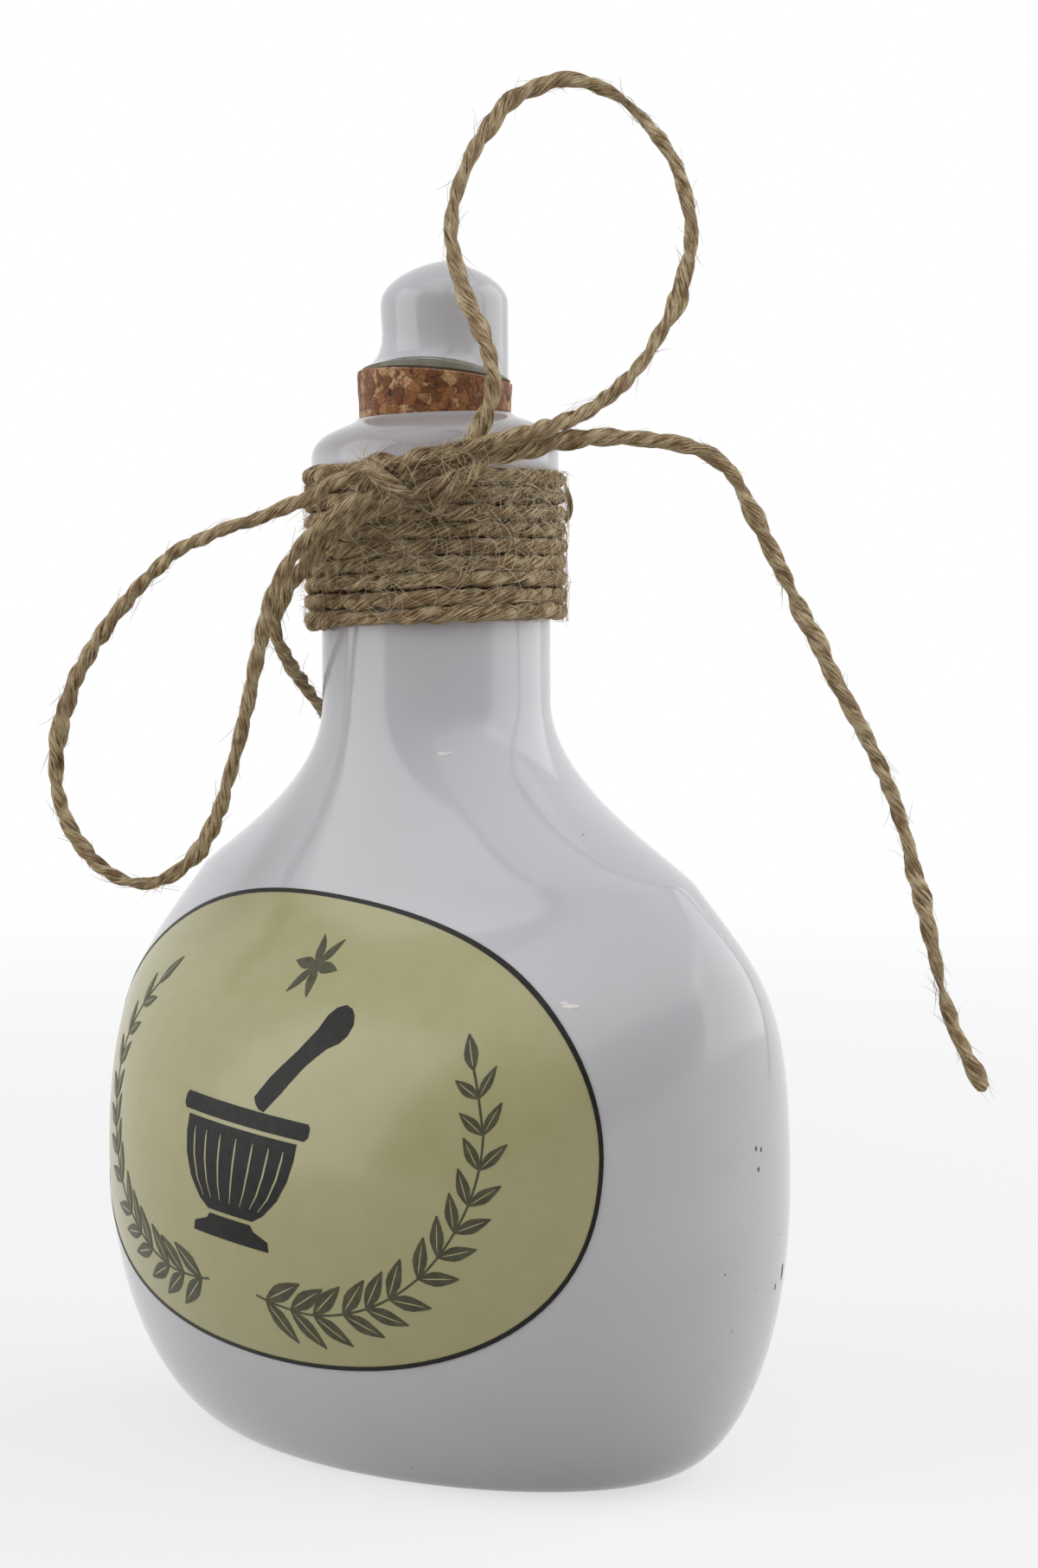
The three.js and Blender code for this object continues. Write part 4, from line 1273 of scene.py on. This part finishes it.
LEFT_TAIL = [
    (-0.0052, 0.0012, -0.0048), (-0.0116, 0.0036, -0.0084), (-0.0156, 0.0058, -0.0114),
    (-0.0190, 0.0082, -0.0152), (-0.0214, 0.0108, -0.0188), (-0.0227, 0.0134, -0.0220),
    (-0.0226, 0.0162, -0.0248), (-0.0215, 0.0196, -0.0274), (-0.0198, 0.0238, -0.0306),
    (-0.0179, 0.0288, -0.0337), (-0.0153, 0.0366, -0.0379), (-0.0126, 0.0441, -0.0429),
    (-0.0112, 0.0507, -0.0484), (-0.0106, 0.0570, -0.0559), (-0.0102, 0.0626, -0.0649),
    (-0.0090, 0.0674, -0.0739)]
bow_place = turn_to_bow @ Matrix.Translation((KNOT_ASIDE, -KNOT_REACH, KNOT_LEVEL))
print("knot at", [round(c / MM, 1) for c in bow_place.translation])

# %% [markdown]
# Every stretch of the bow needs the same things: a smooth route, two plies, the thick and
# thin places that the picture shows, and its loose fibres. One function makes them together.
# An end that is tied runs on into the knot, so no cut end shows there.

# %% Make a stretch of the bow
STRETCH_GRID = 0.6 * MM


def from_axis(spot):
    """Away from the neck, level."""
    return Vector((spot.x, spot.y, 0)).normalized()


def distance_along(spots, point):
    nearest = min(range(len(spots)), key=lambda i: (spots[i] - point).length)
    return route_length(spots[:nearest + 1])


def make_stretch(name, node, route, lead_in, lead_out, seed, hairs, thick=()):
    """A stretch of the bow: its twine, its loose fibres and the spots it runs through.

    thick lists the places where the yarn was spun thick or thin: right, back and up in metres
    from the knot, how many times as thick, and over which length in mm."""
    spots = smooth_route([bow_place @ Vector(p) for p in lead_in + route + lead_out], STRETCH_GRID)
    strand = Builder()
    places = [(distance_along(spots, bow_place @ Vector(point)), factor, mm * MM)
              for point, factor, mm in thick]
    lay_twine(strand, spots, seed, places=places)
    piece = strand.mesh_piece(name)
    wear(piece, jute_bow)
    fuzz_mesh = Builder()
    fray(fuzz_mesh, spots, hairs, seed)
    fuzz = fuzz_mesh.mesh_piece(name + "_fibres")
    wear(fuzz, jute_fibre)
    for part in (piece, fuzz):
        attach(part, "jar")
    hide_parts(node)
    print(name, "%.0f mm" % (route_length(spots) / MM), "hairs", hairs)
    return piece, fuzz, spots


print("stretches are laid in steps of %.1f mm" % (STRETCH_GRID / MM))

# %% Loops and tails
upper = make_stretch(
    "twine_upper_loop", "twine_loop_upper", UPPER_LOOP,
    [(0.0044, 0.0012, 0.0018)], [(0.0030, -0.0004, 0.0016)], 11, 420, [
        ((0.0295, 0.0086, 0.0512), 0.58, 4.5), ((0.0331, 0.0086, 0.0471), 1.45, 1.0),
        ((0.0346, 0.0086, 0.0447), 0.72, 1.6), ((0.0355, 0.0068, 0.0238), 1.4, 1.8),
        ((0.0310, 0.0050, 0.0155), 0.85, 5.0), ((0.0046, 0.0042, 0.0255), 1.22, 9.0),
        ((0.0083, 0.0009, 0.0078), 1.22, 6.0), ((0.0140, -0.0016, 0.0042), 1.14, 7.0)])
right = make_stretch(
    "twine_right_tail", "twine_tail_right", RIGHT_TAIL,
    [(0.0025, 0.0002, 0.0012)], [], 12, 400, [
        ((0.0140, 0.0010, 0.0020), 1.14, 7.0), ((0.0443, 0.0055, -0.0032), 0.62, 1.4),
        ((0.0521, 0.0088, -0.0180), 0.66, 1.4), ((0.0725, 0.0154, -0.0640), 1.1, 5.0),
        ((0.0752, 0.0156, -0.0768), 0.52, 2.8), ((0.0806, 0.0156, -0.0900), 1.2, 3.0),
        ((0.0640, 0.0130, -0.0400), 1.14, 60.0)])
left = make_stretch(
    "twine_left_loop", "twine_loop_left", LEFT_LOOP,
    [(-0.0030, 0.0002, 0.0004)], [(-0.0022, -0.0004, -0.0008)], 13, 500, [
        ((-0.0262, 0.0064, -0.0080), 0.86, 7.0), ((-0.0559, 0.0248, -0.0395), 1.15, 8.0),
        ((-0.0455, 0.0232, -0.0608), 0.82, 7.0), ((-0.0285, 0.0148, -0.0405), 0.88, 7.0)])
back = make_stretch(
    "twine_left_tail", "twine_tail_left", LEFT_TAIL,
    [(-0.0012, 0.0004, -0.0016)], [], 14, 280, [
        ((-0.0090, 0.0674, -0.0739), 1.25, 3.0)])

# %% [markdown]
# ## The knot
#
# Where the strands meet, a few short turns go over and under each other. Each turn is laid
# with the same two plies, so it belongs to the same twine.

# %% Knot turns
KNOT_TURNS = [
    [(0.0095, -0.0014, 0.0031), (0.0060, -0.0024, 0.0021), (0.0027, -0.0030, 0.0015),
     (-0.0018, -0.0031, 0.0006), (-0.0048, -0.0026, -0.0006), (-0.0078, -0.0013, -0.0024),
     (-0.0100, 0.0003, -0.0042)],
    [(-0.0040, 0.0022, -0.0004), (-0.0070, 0.0012, 0.0005), (-0.0088, -0.0012, -0.0003),
     (-0.0078, -0.0035, -0.0016), (-0.0056, -0.0042, -0.0032), (-0.0032, -0.0028, -0.0048),
     (-0.0014, -0.0002, -0.0052)],
    [(0.0082, -0.0006, -0.0002), (0.0044, -0.0024, -0.0018), (0.0012, -0.0030, -0.0031),
     (-0.0024, -0.0025, -0.0045), (-0.0066, -0.0012, -0.0060)],
    [(0.0060, 0.0006, 0.0006), (0.0064, -0.0022, -0.0006), (0.0048, -0.0037, -0.0026),
     (0.0026, -0.0031, -0.0045), (0.0004, -0.0008, -0.0053)],
    [(0.0068, -0.0004, 0.0010), (0.0030, -0.0018, -0.0002), (-0.0004, -0.0022, -0.0012),
     (-0.0038, -0.0017, -0.0021), (-0.0076, -0.0003, -0.0030)],
    [(0.0074, 0.0010, -0.0014), (0.0036, 0.0004, -0.0022), (-0.0002, 0.0002, -0.0030),
     (-0.0044, 0.0006, -0.0036)],
]
KNOT_GRID, KNOT_HAIRS, KNOT_CURLS = 0.5 * MM, 150, 14
knot_mesh, knot_fuzz_mesh, curls_mesh = Builder(), Builder(), Builder()
for index, route in enumerate(KNOT_TURNS):
    turn_spots = smooth_route([bow_place @ Vector(p) for p in route], KNOT_GRID)
    lay_twine(knot_mesh, turn_spots, 21 + index, fat=1.06, uneven=0.08)
    fray(knot_fuzz_mesh, turn_spots, KNOT_HAIRS, 31 + index,
         reach=(1.2, 4.6), out=0.6, away=from_axis)
    draw = random.Random(61 + index)
    for _ in range(KNOT_CURLS):
        spot = draw.choice(turn_spots)
        outward = from_axis(spot)
        tangent = Vector((draw.uniform(-1, 1), draw.uniform(-1, 1), draw.uniform(-1, 1)))
        heading = (tangent - outward * tangent.dot(outward)).normalized()
        start, length = spot + outward * 0.5 * TWINE, draw.uniform(3, 10) * MM
        add_curl(curls_mesh, start, heading, outward, length, draw)
knot = knot_mesh.mesh_piece("twine_knot_turns")
knot_fuzz = knot_fuzz_mesh.mesh_piece("twine_knot_fibres")
wear(knot, jute)
wear(knot_fuzz, jute_fibre)
for piece in (knot, knot_fuzz):
    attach(piece, "jar")
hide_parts("twine_knot")
print("knot turns:", len(KNOT_TURNS))

# %% [markdown]
# Loose fibres stand out thickest on the winding, where the twine was rubbed as it was
# pulled tight. Extra pale fibres gathered at the top right are painted light, where the
# upper turns catch the lamp. Near there a few fibres snagged and stand out
# as a small loop. All are spread by a seeded draw, so each run gives the same fuzz.

# %% Shapes of the winding's fibres
FUZZ_LOW, FUZZ_HIGH, FUZZ_STEP = 122.5 * MM, 144.5 * MM, 0.7 * MM
FUZZ_REACH, FUZZ_FAR = WRAP_RADIUS + 0.56 * TWINE, WRAP_RADIUS + 0.85 * TWINE
FRONT_SHARE, FRONT_BEARING = 0.35, BOW_BEARING - math.pi / 2
NUB_LOW, NUB_HIGH, NUB_OUT, NUB_STEPS = 137.8 * MM, 142.4 * MM, 1.1 * MM, 8
NUB_ROOT = WRAP_RADIUS + 0.45 * TWINE


def lying_fibre(builder, draw, patch=None):
    """A long fibre that was pulled out and lies curled over the turns.

    patch is the bearing, the spread and the lowest level of a place where pale fibres are gathered
    as painted light."""
    around, level = draw.uniform(0, 2 * math.pi), draw.uniform(0.123, 0.144)
    if patch:
        around, level = draw.gauss(patch[0], patch[1]), draw.uniform(patch[2], 0.144)
    elif draw.random() < FRONT_SHARE:
        around, level = draw.gauss(FRONT_BEARING, 0.5), draw.uniform(0.127, 0.144)
    heading, curl = draw.gauss(0, 0.7), draw.uniform(-0.35, 0.35)
    reach, spots = FUZZ_REACH, []
    for _ in range(draw.randrange(6, 16)):
        spots.append(Vector((reach * math.cos(around), reach * math.sin(around), level)))
        around += FUZZ_STEP * math.cos(heading) / reach
        level = min(FUZZ_HIGH, max(FUZZ_LOW, level + FUZZ_STEP * math.sin(heading)))
        heading += curl
        curl += draw.uniform(-0.1, 0.1)
        reach = min(reach + draw.uniform(-0.1, 0.12) * MM, FUZZ_FAR)
    add_hair(builder, spots, draw.uniform(0.03, 0.06) * MM)


def snagged_fibre(builder, draw):
    """One fibre of the small loop of yarn that snagged at the winding's right edge."""
    around = BOW_BEARING + draw.gauss(0, 0.02)
    low, high = NUB_LOW + draw.gauss(0, 0.4) * MM, NUB_HIGH + draw.gauss(0, 0.4) * MM
    out = NUB_OUT * draw.uniform(0.3, 1.1)
    spots = []
    for i in range(NUB_STEPS + 1):
        share = i / NUB_STEPS
        reach, level = NUB_ROOT + out * math.sin(math.pi * share ** 0.7), low + (high - low) * share
        spots.append(Vector((reach * math.cos(around), reach * math.sin(around), level)))
        around += draw.gauss(0, 0.006)
    thick = draw.uniform(0.04, 0.08) * MM
    builder.sweep(spots, lambda i, angle: thick, HAIR_SIDES)


print("fibres lie from %.1f to %.1f mm up" % (FUZZ_LOW / MM, FUZZ_HIGH / MM))

# %% Fibres of the winding
WINDING_HAIRS, PALE_HAIRS, BROWN_HAIRS, LIT_PATCH_HAIRS, NUB_HAIRS = 1000, 430, 260, 90, 90
# Painted light: pale fibres gathered at the top right, where the winding is lit.
LIT_PATCH = (BOW_BEARING - 0.75, 0.3, 0.136)
winding_fuzz_mesh = Builder()
fray(winding_fuzz_mesh, wrap_spots, WINDING_HAIRS, 41,
     reach=(1.0, 3.4), out=0.5, away=from_axis, root=(0.38, 0.5))
draw = random.Random(43)
for _ in range(PALE_HAIRS):
    lying_fibre(curls_mesh, draw)
for _ in range(BROWN_HAIRS):
    lying_fibre(winding_fuzz_mesh, draw)
draw = random.Random(45)
for _ in range(LIT_PATCH_HAIRS):
    lying_fibre(curls_mesh, draw, LIT_PATCH)
draw = random.Random(47)
for _ in range(NUB_HAIRS):
    snagged_fibre(winding_fuzz_mesh, draw)
winding_fuzz = winding_fuzz_mesh.mesh_piece("twine_winding_fibres")
wear(winding_fuzz, jute_fibre)
curls = curls_mesh.mesh_piece("twine_long_fibres")
wear(curls, jute_hair)
for piece in (winding_fuzz, curls):
    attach(piece, "jar")
print("winding fibres:", WINDING_HAIRS + PALE_HAIRS + BROWN_HAIRS + LIT_PATCH_HAIRS + NUB_HAIRS)

# %% [markdown]
# The bow has four free stretches, two loops and two tails.


print("free stretches of the bow: 4")

# %% [markdown]
# ## Floor and light
#
# The floor is pale and plain. It shows white to the camera and fades into the white world
# away from the jar, so no horizon line is left, and keeps the jar's shadow. Two broad soft
# lamps stand left and right of the camera and a weaker one hangs overhead. Between them is
# the dim room behind the camera, and the neck mirrors it as a grey band between two bright ones.

# %% Floor
BOARD_WHITE, BOARD_BOUNCE, PURE_WHITE = "#F2F2F2", "#B4AFA8", "#FFFFFF"
FADE_FROM, FADE_TO, FADE_NEAR = 0.05, 1.0, 0.66
nothing_selected()
bpy.ops.mesh.primitive_plane_add(size=8.0, location=(0, 0, 0))
floor = bpy.context.object
floor.name = "studio_floor"
material, tree, shader = new_material("matt_white_board")
place = add_node(tree, "ShaderNodeTexCoord").outputs["Object"]
distance = add_node(tree, "ShaderNodeVectorMath", {0: place}, operation="LENGTH")
fade = add_node(tree, "ShaderNodeMapRange", {
    "Value": distance.outputs["Value"], "From Min": FADE_FROM, "From Max": FADE_TO,
    "To Min": FADE_NEAR, "To Max": 1.0}, interpolation_type="SMOOTHSTEP")
seen = add_node(tree, "ShaderNodeLightPath")
seen_gloss = add_node(tree, "ShaderNodeMath", {
    0: seen.outputs["Is Camera Ray"], 1: seen.outputs["Is Glossy Ray"]}, operation="MAXIMUM")
seen_all = add_node(tree, "ShaderNodeMath", {
    0: seen_gloss.outputs["Value"], 1: seen.outputs["Is Transmission Ray"]}, operation="MAXIMUM")
shader.inputs["Base Color"].default_value = linear(BOARD_WHITE)
shader.inputs["Roughness"].default_value = 0.9
shader.inputs["Specular IOR Level"].default_value = 0.1
white = add_node(tree, "ShaderNodeEmission", {"Color": linear(PURE_WHITE), "Strength": 1.0})
shown = add_node(tree, "ShaderNodeMixShader", {
    "Fac": fade.outputs["Result"], 1: shader.outputs["BSDF"], 2: white.outputs["Emission"]})
dim = add_node(tree, "ShaderNodeBsdfDiffuse", {"Color": linear(BOARD_BOUNCE)})
either = add_node(tree, "ShaderNodeMixShader", {
    "Fac": seen_all.outputs["Value"], 1: dim.outputs["BSDF"], 2: shown.outputs["Shader"]})
tree.links.new(either.outputs["Shader"], tree.nodes["Material Output"].inputs["Surface"])
wear(floor, material)
print("floor:", material.name)

# %% [markdown]
# A glossy glaze shows the room around it. The world is white all round for the camera, and
# for the glaze it is dimmer in front of the jar, as a room behind a photographer is. Only
# nodes can show one thing to the camera and another to a mirror.

# %% World
ROOM_DIM, ROOM_EDGE, ROOM_TOP = 0.3, (0.5, 0.68), (0.15, 0.95)
FILL_TINT, FILL_LEVEL, FILL_OVERHEAD, FILL_SPAN = "#E8EAF0", 1.16, 0.0, (0.1, 0.95)
world = bpy.data.worlds.new("studio_world")
bpy.context.scene.world = world
world.use_nodes = True
tree = world.node_tree
tree.nodes.clear()
path = add_node(tree, "ShaderNodeLightPath")
seen_straight = add_node(tree, "ShaderNodeMath", {
    0: path.outputs["Is Camera Ray"], 1: path.outputs["Is Transmission Ray"]}, operation="MAXIMUM")
shown_white = add_node(tree, "ShaderNodeBackground", {
    "Color": linear(PURE_WHITE), "Strength": 1.0})
heading = add_node(tree, "ShaderNodeTexCoord").outputs["Object"]
behind_camera = add_node(tree, "ShaderNodeVectorMath", {
    0: heading, 1: FRONT}, operation="DOT_PRODUCT")
up = add_node(tree, "ShaderNodeSeparateXYZ", {"Vector": heading}).outputs["Z"]
low = add_node(tree, "ShaderNodeMapRange", {
    "Value": up, "From Min": ROOM_TOP[0], "From Max": ROOM_TOP[1],
    "To Min": 1.0, "To Max": 0.0}, interpolation_type="SMOOTHSTEP")
ahead = add_node(tree, "ShaderNodeMapRange", {
    "Value": behind_camera.outputs["Value"], "From Min": ROOM_EDGE[0], "From Max": ROOM_EDGE[1]},
    interpolation_type="SMOOTHSTEP")
dark = add_node(tree, "ShaderNodeMath", {
    0: low.outputs["Result"], 1: ahead.outputs["Result"]}, operation="MULTIPLY")
room = add_node(tree, "ShaderNodeMapRange", {
    "Value": dark.outputs["Value"], "To Min": 1.0, "To Max": ROOM_DIM})
mirrored = add_node(tree, "ShaderNodeBackground", {
    "Color": linear(PURE_WHITE), "Strength": room.outputs["Result"]})
overhead = add_node(tree, "ShaderNodeMapRange", {
    "Value": up, "From Min": FILL_SPAN[0], "From Max": FILL_SPAN[1],
    "To Min": FILL_LEVEL, "To Max": FILL_OVERHEAD})
filled = add_node(tree, "ShaderNodeMath", {
    0: overhead.outputs["Result"], 1: room.outputs["Result"]}, operation="MULTIPLY")
fill = add_node(tree, "ShaderNodeBackground", {
    "Color": linear(FILL_TINT), "Strength": filled.outputs["Value"]})
bounced = add_node(tree, "ShaderNodeMixShader", {
    "Fac": path.outputs["Is Glossy Ray"],
    1: fill.outputs["Background"], 2: mirrored.outputs["Background"]})
choose = add_node(tree, "ShaderNodeMixShader", {
    "Fac": seen_straight.outputs["Value"],
    1: bounced.outputs["Shader"], 2: shown_white.outputs["Background"]})
add_node(tree, "ShaderNodeOutputWorld", {"Surface": choose.outputs["Shader"]})
print("world:", world.name, "with %d nodes" % len(tree.nodes))

# %% Lamps
JAR_MIDDLE = Vector((0, 0, 0.09))
# Each lamp has its bearing from the camera's in degrees, height, distance, width and
# height of its face in metres, and power in watts.
LAMPS = {
    "lamp_left": (-75, 0.5, 1.0, 0.95, 1.1, 5.0),
    "lamp_right": (94, 0.5, 1.0, 1.6, 1.2, 7.2),
    "lamp_overhead": (20, 1.4, 0.6, 2.0, 2.0, 8.8),
}
for name, (degrees, height, away, width, tall, watts) in LAMPS.items():
    lamp_data = bpy.data.lights.new(name, "AREA")
    lamp_data.shape = "RECTANGLE"
    lamp_data.size, lamp_data.size_y = width, tall
    lamp_data.energy = watts
    lamp = bpy.data.objects.new(name, lamp_data)
    bpy.context.scene.collection.objects.link(lamp)
    angle = math.radians(AZIMUTH + degrees)
    lamp.location = (away * math.sin(angle), -away * math.cos(angle), height)
    lamp.rotation_euler = (JAR_MIDDLE - lamp.location).to_track_quat("-Z", "Y").to_euler()
bpy.context.scene.view_settings.view_transform = "Standard"
print("lamps:", ", ".join(LAMPS))
